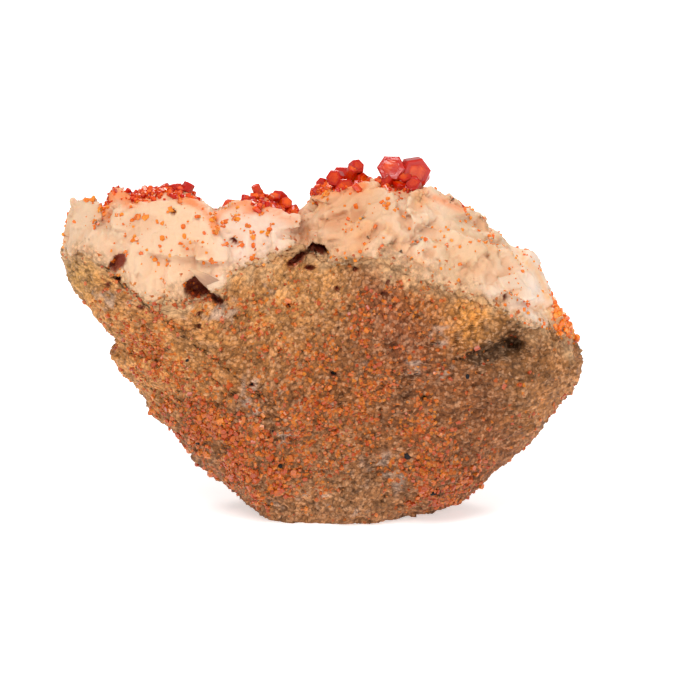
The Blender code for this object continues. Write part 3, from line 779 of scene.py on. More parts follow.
# x, z, radius, weight.
SMOOTH_SPOTS = [
    (-28.5, 36.5, 3.0, 1), (-22.0, 36.5, 2.4, 1), (-19.0, 38.5, 2.6, 1), (-14.0, 37.0, 2.6, 1),
    (-8.5, 37.5, 3.4, 1), (17.5, 37.5, 2.6, 1), (25.5, 31.0, 3.0, 1),
]


def smoothness(points):
    """1 on the smooth faces of the large plates of the broken side, 0 elsewhere."""
    return np.clip(near_spots(points, SMOOTH_SPOTS), 0, 1) * (points[:, 1] < 0)


print("barite relief up to", barite_relief(test_points).max().round(2), "mm")

# %% [markdown]
# ## Hollows
# Dark holes open along the seam between crust and rock. They could be cut with Booleans, but
# pushing the points of the face inwards gives the same pocket without breaking the mesh. The
# push is depth times a dome, over an ellipse with a ragged border. The same dome also paints shade
# into the colours of the rock and the crust, which darkens each hollow and pit.

# %% Hollows and pits
# x, z, half width, half height, turn in degrees, depth.
HOLLOWS = [
    (-15.5, 30.5, 1.7, 1.45, -18, 3.6), (-13.0, 29.5, 1.1, 0.55, -32, 2.0),
    (-25.3, 33.6, 1.5, 0.75, 48, 1.3), (-2.9, 34.2, 1.7, 0.6, 30, 2.2), (-0.7, 35.1, 1.5, 0.8, 8, 3.0),
    (20.8, 22.3, 3.0, 1.3, 10, 1.8), (23.6, 23.1, 1.7, 1.1, -8, 2.8), (-10.8, 36.1, 0.5, 0.28, -30, 0.9),
]
# x, z of small round ones.
PITS = np.array([
    (-25.2, 31.6), (-22.3, 28.2), (-15.1, 27.9), (-1.6, 33.2), (4.0, 33.2), (1.9, 30.8), (7.6, 30.5),
    (22.7, 29.1), (8.1, 31.9), (-4.1, 28.8), (4.6, 25.5), (1.4, 20.2), (-8.7, 18.7), (12.7, 17.0),
    (-15.2, 26.1), (-26.4, 30.8), (14.2, 4.6), (-18.4, 39.6),
])


def ellipse_distance(points, x, z, wide, high, turn):
    """0 in the middle of a turned ellipse and 1 on its border, seen from the front."""
    c, s = math.cos(math.radians(turn)), math.sin(math.radians(turn))
    along = ((points[:, 0] - x) * c + (points[:, 2] - z) * s) / wide
    across = ((points[:, 2] - z) * c - (points[:, 0] - x) * s) / high
    return np.hypot(along, across)


def hollow_depth(points):
    """Depth of the push at each point of the broken side, and how far down a hollow it lies, which sets the painted
    shade there.
    """
    ragged = 0.28 * soft_noise(points, 1.1, 64) + 0.18 * soft_noise(points, 0.5, 65)
    depth, dark = np.zeros(len(points)), np.zeros(len(points))
    spots = HOLLOWS + [(x, z, 0.42, 0.34, 30 * i, 0.8) for i, (x, z) in enumerate(PITS)]
    for *ellipse, deep in spots:
        dome = np.clip(1 - (ellipse_distance(points, *ellipse) + ragged) ** 2, 0, 1) ** 0.5
        depth, dark = np.maximum(depth, deep * dome), np.maximum(dark, dome)
    front = points[:, 1] < -1.0
    return depth * front, dark * front


print("hollows:", len(HOLLOWS), "and pits:", len(PITS))

# %% [markdown]
# ## The brown rock
# The rock is the lower part of the slab and is left rough all over. Its grid has squares of a
# third of a millimetre, fine enough for each grain. Where it nears the crust it takes on some of
# the crust's relief, so that no step shows between them.

# %% The rock's shape
ROCK_CENTRE = (-4.0, 14.0)
ROCK_CELLS = 218


def shaped(points, normals, rock_like):
    """Moves points out by the relief of their mineral, then into the hollows."""
    relief, numbers, crack = rock_relief(points)
    crust_like = barite_relief(points) * (1 - 0.7 * smoothness(points))
    relief = rock_like * relief + (1 - rock_like) * crust_like
    depth, dark = hollow_depth(points)
    moved = points + normals * relief[:, None]
    moved[:, 1] += depth
    return moved, relief, numbers, crack, dark


rock_points, rock_faces = closed_sheets(ROCK_CELLS, ROCK_CENTRE, rock_front, rock_back)
rock_normals = point_normals(rock_points, rock_faces)
rock_points, rock_lift, rock_numbers, rock_crack, rock_hollow_shade = shaped(
    rock_points, rock_normals, 1 - 0.7 * crust_share(rock_points)
)
rock_points[:, 2] = np.maximum(rock_points[:, 2], 0.0)
print("rock relief from", rock_lift.min().round(2), "to", rock_lift.max().round(2), "mm")

# %% [markdown]
# ## The rock's colours
# Iron stains the rock in broad zones, from yellow ochre to purple-brown. An image would fix them
# to one view. Named zones with soft borders are mixed at each point instead, so the hidden sides
# get them too. One very dark zone by the right hollow is painted shade. Pale patches and lighter
# grains come on top, and the cracks between grains are darkened with painted shade.

# %% The rock's colours
# Middle (x, z), radius and colour of each zone.
ROCK_ZONES = [
    ((-22.0, 25.0), 8.0, (0.80, 0.343, 0.096)),
    ((-31.0, 33.0), 4.0, (0.69, 0.353, 0.099)),
    ((-20.5, 28.5), 3.6, (0.58, 0.209, 0.056)),
    ((-14.0, 24.0), 6.0, (0.61, 0.238, 0.058)),
    ((-3.0, 31.5), 8.0, (0.75, 0.333, 0.096)),
    ((1.0, 20.0), 9.0, (0.41, 0.130, 0.028)),
    ((10.5, 27.0), 6.0, (0.32, 0.067, 0.018)),
    ((18.0, 29.0), 4.5, (1.04, 0.414, 0.078)),
    # This dark zone is painted shade in the recess by the right hollow.
    ((22.0, 22.5), 3.6, (0.16, 0.063, 0.018)),
    ((28.0, 20.0), 6.0, (0.57, 0.223, 0.062)),
    ((15.0, 13.0), 8.0, (0.37, 0.120, 0.033)),
    ((-12.0, 9.5), 8.0, (0.35, 0.128, 0.038)),
    ((0.0, 3.0), 8.0, (0.54, 0.229, 0.081)),
]
# x, z of patches where barite shows through.
PALE_PATCHES = np.array([
    (-24.0, 29.3), (-16.7, 29.0), (-9.6, 16.2), (-12.3, 28.1), (-1.8, 15.0), (0.8, 15.3), (-4.5, 12.3),
    (-8.9, 18.7), (-0.1, 3.6), (-2.7, 4.5), (7.4, 9.1), (9.4, 5.9), (11.0, 20.9), (15.3, 24.5),
    (15.1, 20.0), (-5.8, 2.7), (-10.6, 28.1), (-7.1, 30.4), (-26.8, 28.6), (4.5, 1.5),
])
ROCK_TAN = np.array((0.74, 0.42, 0.20))
# Painted shade inside the hollows: red-brown left of x = 12, dark brown to the right of it.
HOLLOW_SHADE_RED = np.array((0.24, 0.032, 0.009))
HOLLOW_SHADE_BROWN = np.array((0.10, 0.045, 0.016))


def zone_colour(points, zones):
    """Mix of the zones' colours, each weighted by exp(-(distance / radius)^2), with wandering borders."""
    wander = np.stack([soft_noise(points, 5.0, 60), soft_noise(points, 5.0, 61)], 1) * 2.5
    flat = points[:, [0, 2]] + wander
    weights = np.stack([np.exp(-np.sum((flat - c) ** 2, 1) / r**2) for c, r, _ in zones], 1) + 1e-6
    return weights @ np.array([colour for *_, colour in zones]) / weights.sum(1, keepdims=True)


def faded(colour, share, other):
    return colour * (1 - share[:, None]) + np.asarray(other) * share[:, None]


def rock_tint(points, numbers, crack, share, dark):
    tint = zone_colour(points, ROCK_ZONES)
    near = np.exp(-np.min(np.sum((points[:, None, [0, 2]] - PALE_PATCHES) ** 2, 2), 1) / 2.2)
    pale = smooth_step(0.8 * near + 0.7 * soft_noise(points, 0.7, 70) + 0.3 * soft_noise(points, 7.0, 71), 0.5, 1.1)
    tint = faded(tint, 0.65 * pale, (0.70, 0.50, 0.38))
    tint = faded(tint, 0.9 * smooth_step(share, 0.0, 0.7), ROCK_TAN)
    shade = 0.8 + 0.3 * numbers[:, 1] + 0.16 * soft_noise(points, 2.0, 73)
    # Painted shade: the cracks between grains are darkened by up to 40 percent.
    tint = np.clip(tint * (shade * (1 - 0.4 * crack))[:, None], 0.01, 0.95)
    # Painted shade: the hollows and pits darken the tint.
    dark = smooth_step(dark, 0.1, 0.7)
    right = points[:, 0] > 12
    return faded(faded(tint, dark * ~right, HOLLOW_SHADE_RED), 0.8 * dark * right, HOLLOW_SHADE_BROWN)


print("colour zones of the rock:", len(ROCK_ZONES))

# %% [markdown]
# ## The finished rock
# Tiny crystals coat the rock in clouds, dense in some zones and rare in others. The finest of them
# are only coloured grains in the shader, by a chance that the points carry.

# %% The rock as a piece
# x, z, radius, and how dense the crystals are.
DRUSE_ZONES = [
    (-9.0, 8.5, 6.0, 0.42), (-21.5, 22.0, 5.5, 0.36), (3.0, 21.5, 6.0, 0.34), (15.0, 4.5, 4.5, 0.42),
    (-2.0, 14.0, 7.0, 0.22), (11.0, 12.0, 7.0, 0.24), (-16.0, 13.5, 5.0, 0.32), (-8.0, 26.0, 6.0, 0.15),
    (9.0, 27.0, 5.0, 0.13), (-19.0, 28.5, 3.5, 0.15),
]


def druse_chance(points):
    """The share of grains that are vanadinite: high near the zones' middles, broken up by noise."""
    patchy = smooth_step(rough_noise(points, 2.6, 50, 3), -0.5, 0.9)
    return (0.03 + near_spots(points, DRUSE_ZONES)) * (0.12 + 1.2 * patchy)


rock_share = crust_share(rock_points, -3.0, 1.2)
rock = object_from("brown_rock", rock_points, rock_faces)
rock_colours = rock_tint(rock_points, rock_numbers, rock_crack, rock_share, rock_hollow_shade)
set_attribute(rock, "tint", rock_colours)
set_attribute(rock, "grit", (1 - 0.5 * rock_share) * (1 - 0.4 * smooth_step(rock_colours[:, 1], 0.2, 0.38)))
set_attribute(rock, "druse", druse_chance(rock_points) * (1 - rock_share) * (1 - rock_hollow_shade))
dress(rock, ROCK, "matrix_rock", "matrix_rock")

# %% [markdown]
# ## The barite crust
# Barite grows in flat blades that fan into cockscombs. The blades below are those that the solids
# have too: a row of broken ones at the front, each with its place, sizes and turns, and nineteen
# large ones on the far side, which stand on the slab's surface.

# %% Tables of the blades
BLADE_FORM = turned_template(14, [(0.55, -0.5), (0.86, -0.42), (1.0, -0.12), (1.0, 0.12), (0.86, 0.42), (0.55, 0.5)])
# x, y, z, half length, half width, thickness, compass, climb and turn in degrees.
FRONT_BLADES = np.array([
    (-19.6, -7.2, 36.6, 5.6, 3.6, 2.4, -93, 8, 8),
    (-24.8, -5.6, 36.9, 3.4, 3.0, 2.2, -108, 14, -18),
    (-28.4, -5.6, 35.4, 2.7, 2.4, 1.6, -114, 8, 4),
    (-15.2, -8.6, 35.2, 3.4, 2.7, 1.6, -74, 10, -52),
    (-7.4, -4.6, 36.2, 5.4, 3.5, 2.2, -88, 12, -4),
    (-14.3, -11.0, 33.2, 2.6, 0.9, 0.7, -86, 40, -24),
    (1.2, -7.4, 37.6, 3.6, 2.2, 1.6, -112, 24, 42),
    (7.6, -5.8, 39.2, 4.6, 2.4, 2.4, -84, 34, -4),
    (13.6, -5.6, 38.2, 3.4, 2.2, 1.8, -72, 30, -28),
    (17.6, -8.6, 35.0, 3.9, 1.7, 1.5, -78, 22, -36),
    (20.4, -8.8, 31.8, 3.4, 1.5, 1.4, -70, 12, -50),
    (24.6, -6.8, 30.0, 3.4, 2.2, 1.6, -62, 14, -62),
    (28.2, -5.0, 26.0, 3.8, 1.7, 1.4, -52, 10, -62),
    (9.6, -10.6, 35.8, 2.6, 1.3, 1.2, -96, 26, 34),
    (-5.0, -10.4, 35.6, 2.4, 0.9, 0.8, -100, 30, 26),
])
# x, z, radius, thickness, compass, climb, and how far it stands out of the crust.
BACK_BLADES = np.array([
    (-26.5, 32.6, 4.6, 1.5, 24, 12, 1.9),
    (-21.0, 37.4, 4.4, 1.4, -34, 34, 1.6),
    (-21.0, 27.0, 5.4, 1.7, -40, 12, 2.6),
    (-15.2, 32.6, 5.6, 1.8, 38, 22, 2.2),
    (-15.0, 22.6, 5.0, 1.5, 14, -8, 2.4),
    (-8.6, 36.2, 4.8, 1.5, -16, 44, 1.7),
    (-8.4, 29.6, 6.0, 1.9, -44, 12, 2.7),
    (-6.4, 23.6, 4.8, 1.5, 34, 4, 2.4),
    (-1.6, 33.4, 5.4, 1.6, 20, 32, 2.1),
    (1.8, 25.6, 5.8, 1.9, -10, 16, 2.8),
    (6.0, 38.0, 5.0, 1.6, 46, 36, 1.6),
    (7.4, 31.2, 5.8, 1.9, -38, 20, 2.4),
    (8.6, 21.6, 5.0, 1.5, 22, -6, 2.4),
    (13.0, 33.0, 5.2, 1.6, -12, 28, 2.1),
    (14.6, 25.4, 5.6, 1.8, 40, 10, 2.7),
    (19.6, 32.4, 4.6, 1.5, 6, 26, 1.8),
    (20.4, 23.0, 5.0, 1.6, -32, 4, 2.3),
    (24.4, 28.0, 4.4, 1.5, 30, 12, 1.8),
    (26.4, 19.8, 4.2, 1.4, -8, 0, 1.7),
])
print("blades in front:", len(FRONT_BLADES), "and behind:", len(BACK_BLADES))

# %% [markdown]
# ## The blades in their places
# The blades of the broken side are given in space. Those of the far side are given by their place
# on the crust's surface, and stand out of it along its normal. Where one would show over the
# crest, it is lowered in step with how far it shows, by at most 3.6 mm.

# %% Blades of the solids
def look_matrices(compass, climb, turn):
    """Turns +Z to look along compass and climb (degrees), as the solids' own blades and crystals do."""
    found = []
    for a, b, c in zip(np.radians(compass), np.radians(climb), np.radians(turn)):
        look = Vector((math.cos(b) * math.cos(a), math.cos(b) * math.sin(a), math.sin(b)))
        found.append(np.array(look.to_track_quat("Z", "Y").to_matrix() @ Matrix.Rotation(c, 3, "Z")))
    return np.array(found)


def outward(x, z, side):
    """Unit normals of the crust's surface at (x, z) on one side, from its slopes over 0.6 mm."""
    height, step = (crust_back if side > 0 else crust_front), 0.6
    slope_x = (height(x + step, z) - height(x - step, z)) / (2 * step)
    slope_z = (height(x, z + step) - height(x, z - step)) / (2 * step)
    normal = np.stack([-slope_x, np.ones_like(slope_x), -slope_z], -1)
    return side * normal / np.linalg.norm(normal, axis=-1, keepdims=True)


# Lowering in mm for each unit of share over the crest, and the largest share counted.
COCKSCOMB_DROP, MOST_OVER = 24, 0.15


def main_blades():
    """The blades that the solids have too: those of the broken side and the big cockscombs."""
    f, b = FRONT_BLADES, BACK_BLADES
    front = copies(BLADE_FORM, f[:, :3], look_matrices(f[:, 6], f[:, 7], f[:, 8]), f[:, 3:6])
    out = outward(b[:, 0], b[:, 1], 1)
    root = np.stack([b[:, 0], crust_back(b[:, 0], b[:, 1]), b[:, 1]], 1)
    places = root + out * (b[:, 6] - 0.8 * b[:, 2])[:, None]
    sizes = np.stack([b[:, 2], 0.8 * b[:, 2], b[:, 3]], 1)
    turns = look_matrices(b[:, 4], b[:, 5], 0 * b[:, 4])
    share = seen_share(copies(BLADE_FORM, places, turns, sizes)[0].reshape(len(b), -1, 3)).max(1)
    drop = COCKSCOMB_DROP * np.clip(share - 1, 0, MOST_OVER)
    places[:, 2] -= drop
    print("cockscombs lowered by", drop.round(1).tolist(), "mm")
    back = copies(BLADE_FORM, places, turns, sizes)
    return [front, back]


front_main, cockscombs = main_blades()

# %% [markdown]
# ## Small blades of the broken side
# Between the large plates the crust is broken into many small ledges. They are seeded, not placed
# by hand, but they all lean the way that the ledges in the photograph do.

# %% Small blades
def small_blades(chooser, count):
    """Seeded blades on the broken side. Their flat faces lean up to the right, as the ledges there do."""
    x = chooser.uniform(-5, 32, count)
    low = crust_edge(x) + 1.5
    z = low + chooser.uniform(0.02, 1, count) * (OUTLINE[:, 1].max() - low)
    kept = (rim_share(x, z) < 0.97) & (smoothness(np.stack([x, 0 * x - 5, z], 1)) < 0.35)
    x, z, count = x[kept], z[kept], kept.sum()
    out = outward(x, z, -1)
    lean = np.radians(chooser.normal(50, 16, count))
    edge_way = np.stack([np.cos(lean), np.zeros(count), np.sin(lean)], 1)
    edge_way -= out * np.sum(edge_way * out, 1, keepdims=True)
    flat = np.cross(edge_way, out)
    axis = flat / np.linalg.norm(flat, axis=1, keepdims=True) + chooser.uniform(0.5, 1.5, (count, 1)) * out
    wide = chooser.uniform(0.9, 2.2, count)
    sizes = np.stack([wide, wide * chooser.uniform(0.5, 0.9, count), chooser.uniform(0.35, 0.8, count)], 1)
    place = np.stack([x, crust_front(x, z), z], 1) - out * (wide * chooser.uniform(0.15, 0.33, count))[:, None]
    return copies(BLADE_FORM, place, axis_frames(axis, chooser.uniform(0, 6, count)), sizes)


blade_sets = [front_main, small_blades(np.random.RandomState(31), 150)]
print("blades on the broken side:", sum(len(faces) for _, faces in blade_sets) // len(BLADE_FORM[1]))

# %% [markdown]
# ## Rosettes of the far side
# On the far side the blades grew free, with sharp rims, and stand round the middle of each
# cockscomb like petals. They get an eight-sided form of their own, which is light enough for a
# thousand of them. Those that would stand up over the crest are left out.

# %% Rosettes
SHARP_BLADE = turned_template(8, [(0.8, -0.5), (1.0, -0.1), (1.0, 0.1), (0.8, 0.5)])


def behind_crest(template, points, faces, limit=1.005):
    """Keeps the copies of a template that do not stand up over the crest, seen from the broken side."""
    points_each, faces_each = len(template[0]), len(template[1])
    share = seen_share(points.reshape(-1, points_each, 3)).max(1)
    kept = np.flatnonzero(share < limit)
    points = points.reshape(-1, points_each, 3)[kept].reshape(-1, 3)
    return points, (faces[:faces_each][None] + (np.arange(len(kept)) * points_each)[:, None, None]).reshape(-1, 3)


def rosette_blades(chooser, each, reach, low, high):
    """Blades round the middle of every cockscomb, their flat faces leaning away from it like petals."""
    middle = np.repeat(BACK_BLADES[:, :2], each, axis=0)
    count = len(middle)
    out = outward(middle[:, 0], middle[:, 1], 1)
    side = np.cross(out, (0.0, 0.0, 1.0))
    side /= np.linalg.norm(side, axis=1, keepdims=True)
    turn = chooser.uniform(0, 2 * math.pi, (count, 1))
    way = side * np.cos(turn) + np.cross(out, side) * np.sin(turn)
    spot = middle + way[:, [0, 2]] * reach * chooser.uniform(0.02, 1, (count, 1)) ** 0.5
    kept = (rim_share(*spot.T) < 0.98) & (spot[:, 1] > np.interp(spot[:, 0], *FAR_EDGE) + 1.2)
    spot, way, out, count = spot[kept], way[kept], out[kept], kept.sum()
    wide = low + (high - low) * chooser.uniform(0, 1, count) ** 1.4
    sizes = np.stack([wide, wide * chooser.uniform(0.6, 0.9, count), chooser.uniform(0.3, 0.6, count)], 1)
    axis = way + chooser.uniform(0.0, 0.6, (count, 1)) * out + chooser.normal(scale=0.25, size=(count, 3))
    root = np.stack([spot[:, 0], crust_back(*spot.T), spot[:, 1]], 1)
    place = root + out * (wide * chooser.uniform(-0.1, 0.3, count))[:, None]
    points, faces = copies(SHARP_BLADE, place, axis_frames(axis, chooser.uniform(0, 6, count)), sizes)
    return behind_crest(SHARP_BLADE, points, faces)


far_blades = [
    cockscombs, rosette_blades(np.random.RandomState(32), 26, 3.8, 1.2, 3.2),
    rosette_blades(np.random.RandomState(33), 34, 9.0, 0.6, 1.5),
]
print("far blades:", sum(len(faces) for _, faces in far_blades[1:]) // len(SHARP_BLADE[1]))

# %% [markdown]
# ## Broken plates
# On the broken side the crust shows a few large plates, some with sugary, some with glassy faces.
# Each is given by its outline as seen from the front. It is laid on a plane that follows the
# crust, stands a little out of it, and gets a worn rim.

# %% Outlines of the plates
# Outline of (x, z), how far it stands out, thickness, and how much it tilts along x and z.
PLATES = [
    ([(-31.3, 40.0), (-29.1, 40.1), (-27.7, 39.9), (-27.4, 38.5), (-28.4, 37.1), (-29.3, 34.9), (-31.2, 33.6),
      (-32.1, 34.2), (-32.1, 35.8), (-31.3, 37.4), (-30.9, 38.9)], 0.7, 2.6, 0.15, -0.1),
    ([(-26.5, 40.0), (-25.6, 40.9), (-24.2, 40.5), (-21.4, 40.2), (-19.3, 39.9), (-20.8, 38.8), (-23.9, 38.9),
      (-25.5, 39.4), (-26.4, 38.9)], 0.3, 1.1, 0.0, 0.1),
    ([(-26.2, 39.7), (-25.0, 40.1), (-22.2, 40.3), (-19.2, 40.7), (-16.7, 41.0), (-14.9, 40.7), (-14.1, 40.2),
      (-13.4, 39.1), (-12.7, 37.3), (-11.7, 35.9), (-11.2, 34.9), (-11.7, 34.2), (-13.2, 34.2), (-15.6, 34.4),
      (-19.2, 34.7), (-23.2, 35.3), (-25.0, 36.5), (-26.1, 38.1)], 0.6, 1.5, -0.1, -0.24),
    ([(-14.2, 38.7), (-12.7, 39.5), (-11.0, 40.5), (-8.8, 40.2), (-6.3, 39.7), (-4.1, 39.0), (-2.6, 38.9),
      (-2.6, 36.8), (-4.1, 35.5), (-5.7, 35.0), (-8.2, 33.5), (-11.2, 33.9), (-12.6, 36.5), (-13.4, 37.7)],
     -0.2, 1.4, 0.03, 0.05),
    ([(-6.2, 37.4), (-2.8, 38.4), (-1.5, 39.8), (0.1, 39.3), (-0.2, 38.0), (-2.1, 36.8), (-4.0, 34.8),
      (-6.2, 33.5), (-8.1, 32.9), (-8.3, 34.0), (-6.2, 35.5)], 0.5, 0.9, 0.3, 0.1),
    ([(-1.2, 40.8), (-0.3, 41.6), (3.5, 42.3), (4.5, 43.1), (7.0, 42.9), (9.2, 41.0), (9.5, 39.4), (7.6, 38.3),
      (4.6, 39.9), (2.7, 38.3), (0.4, 38.6), (-0.9, 39.6)], 1.2, 1.6, 0.06, -0.15),
    ([(-1.5, 36.3), (0.7, 37.8), (2.7, 38.1), (5.1, 37.6), (6.4, 38.6), (8.2, 39.5), (9.6, 39.8), (9.6, 37.0),
      (7.0, 35.7), (6.7, 34.4), (3.5, 35.0), (0.7, 35.7), (0.4, 35.0)], 0.6, 1.2, 0.1, 0.3),
    ([(0.4, 34.7), (1.5, 35.0), (3.5, 34.8), (5.4, 35.0), (4.3, 33.8), (2.3, 33.5), (0.7, 33.8)],
     0.4, 0.7, 0.0, 0.2),
    ([(10.8, 42.0), (12.4, 42.4), (13.9, 41.8), (16.9, 40.2), (18.8, 38.2), (20.4, 37.8), (20.6, 35.9),
      (18.2, 34.8), (16.0, 36.2), (14.7, 37.2), (11.9, 38.2), (10.3, 40.1)], 1.0, 1.6, -0.1, -0.1),
    ([(7.2, 38.2), (9.7, 39.2), (11.9, 38.4), (15.0, 37.4), (16.0, 36.3), (16.6, 35.4), (14.7, 35.0),
      (12.7, 33.7), (11.6, 34.2), (9.7, 35.0), (7.5, 36.3)], 0.5, 1.2, 0.2, 0.25),
    ([(12.3, 34.0), (13.4, 35.2), (15.5, 35.9), (16.6, 35.6), (15.9, 34.3), (17.2, 32.4), (15.6, 31.9),
      (13.8, 33.3)], 0.8, 1.0, 0.3, 0.1),
    ([(17.4, 34.7), (20.1, 34.9), (20.2, 34.1), (19.4, 33.1), (18.2, 33.3), (17.4, 33.6)], 0.8, 0.9, 0.1, -0.2),
    ([(20.4, 34.8), (21.1, 35.4), (22.3, 34.6), (23.8, 33.9), (25.0, 32.3), (26.4, 30.6), (27.5, 28.6),
      (25.4, 28.4), (23.7, 29.2), (22.4, 30.2), (21.4, 32.1), (20.8, 33.8)], 0.9, 1.5, -0.15, 0.0),
    ([(19.8, 33.9), (20.9, 33.2), (22.0, 31.0), (22.3, 29.3), (21.1, 29.7), (19.8, 31.0), (18.8, 32.9)],
     0.5, 1.0, 0.3, 0.1),
]
FLAP = ([(-16.3, 33.8), (-14.5, 33.2), (-12.5, 32.0), (-12.3, 30.6), (-12.7, 29.5), (-14.0, 30.7), (-15.1, 32.0)],
        0.7, 0.3, 0.1, -0.7)
print("plates:", len(PLATES), "and one flap")

# %% [markdown]
# ## Laying a plate on the crust
# A plate could be an extruded curve. Here five rings of points follow its outline, from the back
# over the worn rim to the face, which takes the plane's tilt and a ragged border with it.

# %% Plates of the broken side
RIM_POINTS = 96


def plate(outline, lift, thick, tilt_x, tilt_z, number):
    """Rings round a broken outline: back, worn rim and face, on a plane leaning like the crust does there."""
    corners = np.array(outline + outline[:1])
    run = np.concatenate([[0], np.cumsum(np.hypot(*np.diff(corners, axis=0).T))])
    along = np.linspace(0, run[-1], RIM_POINTS, endpoint=False)
    rim = np.stack([np.interp(along, run, corners[:, 0]), np.interp(along, run, corners[:, 1])], 1)
    middle = rim.mean(0)
    spot = np.stack([rim[:, 0], np.full(RIM_POINTS, 3.0 * number), rim[:, 1]], 1)
    rim = middle + (rim - middle) * (1 + 0.05 * rough_noise(spot, 1.6, 75, 2))[:, None]
    x, z = middle
    slope_x = np.clip((crust_front(x + 2, z) - crust_front(x - 2, z)) / 4, -1, 1) + tilt_x
    slope_z = np.clip((crust_front(x, z + 1.5) - crust_front(x, z - 1.5)) / 3, -1, 1.1) + tilt_z
    rings = []
    for scale, back in ((0.9, thick), (1.0, 0.7 * thick), (1.0, 0.22), (0.96, 0.04), (0.8, 0.0)):
        ring = middle + (rim - middle) * scale
        y = crust_front(x, z) - lift + back + (ring - middle) @ (slope_x, slope_z)
        limit = crust_front(*ring.T) - lift - 0.4 + back
        y = np.where(ring[:, 1] < z, np.maximum(y, limit), y)
        rings.append(np.stack([ring[:, 0], y, ring[:, 1]], 1))
    ends = np.array([rings[0].mean(0), rings[-1].mean(0)])
    points = np.concatenate([ends[:1], *rings, ends[1:]])
    return points, turned_template(RIM_POINTS, [(1, 0)] * len(rings))[1]


plates = [plate(*row, number) for number, row in enumerate(PLATES)]
print("triangles of each plate:", len(plates[0][1]))

# %% [markdown]
# ## Fusing the crust
# Blades could be joined one by one with Booleans, which is slow for hundreds of them. Here the
# slab, its blades and its plates are put into one mesh and a voxel Remesh fuses them, as growth
# did: the blades keep their ledges, and no face is left inside.

# %% Fuse the crust
CRUST_CENTRE = (0.0, 27.5)
CRUST_CELLS = 120
CRUST_VOXEL = 0.3


def split_squares(faces):
    return np.concatenate([faces[:, [0, 1, 2]], faces[:, [0, 2, 3]]])


slab_points, slab_faces = closed_sheets(CRUST_CELLS, CRUST_CENTRE, crust_front, crust_back)
slab_points += point_normals(slab_points, slab_faces) * (0.35 * rough_noise(slab_points, 4.0, 80, 3))[:, None]
slab = (slab_points, split_squares(slab_faces))
crust = object_from("barite_blades", *join_sets(slab, *blade_sets, *plates))
fuse = crust.modifiers.new("fuse", "REMESH")
fuse.mode = "VOXEL"
fuse.voxel_size = CRUST_VOXEL * MM
apply_modifiers(crust)
print("fused crust:", len(crust.data.polygons), "squares")

# %% [markdown]
# ## Painted ledge shade and coated edges
# Brown shade is painted along some ledges and in a few hollows of the crust, and where vanadinite
# grew on the crest its orange shines through the thin barite. The patches of painted shade are soft
# ellipses. The coated edges are paths along the crest, and the small crystals are scattered along
# the same paths later.

# %% Painted ledge shade and paths
# x, z, half width, half height, turn in degrees, strength.
# Each row is a patch of painted brown shade under a ledge or in a hollow of the crust.
LEDGE_SHADES = [
    (1.6, 38.7, 1.7, 0.7, 10, 0.85), (4.3, 39.6, 0.8, 1.4, 0, 0.5), (-2.1, 36.3, 0.5, 1.3, -20, 0.7),
    (-4.6, 34.7, 1.7, 0.45, 22, 0.8), (5.6, 37.2, 1.4, 0.5, 30, 0.5), (13.2, 35.2, 0.7, 0.6, 0, 0.6),
    (17.6, 32.8, 0.6, 1.2, -20, 0.5), (-15.8, 35.7, 1.9, 0.9, -15, 0.42), (-22.4, 38.2, 2.3, 0.9, 10, 0.3),
    (-25.6, 34.6, 0.8, 1.0, -30, 0.5), (10.4, 38.4, 0.6, 1.5, 40, 0.45), (20.6, 32.2, 0.5, 1.6, -25, 0.4),
]
# Points (x, z) along the crest that each group of crystals coats.
CREST_PATHS = {
    "vanadinite_left_tip": [(-26.6, 38.8), (-26.5, 40.4), (-25.6, 41.2), (-24.6, 40.8)],
    "vanadinite_left_crest": [(-23.2, 40.6), (-21.3, 40.8), (-20.1, 41.6), (-16.8, 41.4), (-15.6, 40.3)],
    "vanadinite_saddle_cluster": [(-9.2, 39.4), (-7.7, 40.0), (-5.5, 39.5), (-3.6, 38.6)],
    "vanadinite_centre_spray": [(-0.3, 40.8), (0.6, 42.0), (2.6, 42.6), (4.9, 42.4)],
    "vanadinite_twin_crystals": [(7.9, 42.2), (9.9, 42.0), (12.0, 41.7)],
    "vanadinite_right_edge": [(25.0, 27.0), (27.1, 26.6), (28.9, 26.0), (30.2, 24.6), (31.0, 22.8), (31.9, 20.8)],
}
GLOWING_EDGES = [
    [(-16.9, 40.9), (-14.7, 40.0), (-13.6, 38.6), (-12.9, 37.4)], [(-13.4, 38.2), (-12.3, 39.4), (-9.0, 40.6)],
    [(14.0, 41.0), (17.3, 39.2)], [(23.0, 35.0), (26.7, 31.2), (28.2, 28.2)],
]


def near_path(points, path, radius, from_y=-20.0):
    """exp(-(distance / radius)^2) to a path of (x, z) points, from the y given to the middle of the slab."""
    path = np.array(path)
    steps = np.linspace(0, 1, 10)[:, None]
    dots = np.concatenate([a + (b - a) * steps for a, b in zip(path, path[1:])])
    square = np.min(np.sum((points[:, None, [0, 2]] - dots) ** 2, 2), 1)
    ragged = points[:, 1] + 1.2 * soft_noise(points, 2.0, 68)
    return np.exp(-square / radius**2) * smooth_step(-ragged, -3.5, 0.5) * smooth_step(ragged, from_y, from_y + 2)


def ledge_shade_share(points):
    """How much of the painted brown ledge shade shows at each point: soft ellipses on the broken side."""
    share = np.zeros(len(points))
    ragged = 0.35 * soft_noise(points, 0.9, 66)
    for *ellipse, strength in LEDGE_SHADES:
        inside = smooth_step(-ellipse_distance(points, *ellipse) - ragged, -1.4, -0.5)
        share = np.maximum(share, strength * inside)
    return share * (points[:, 1] < -1)


print("stains:", len(LEDGE_SHADES), "coated paths:", len(CREST_PATHS) + len(GLOWING_EDGES))

# %% [markdown]
# ## The colours of the crust
# The barite is pinkish cream and paler on its plates. Its low places are painted tan as shade, and
# so are some ledges. The same mix of zones as in the rock gives the base, and each patch of painted
# ledge shade is laid over it.

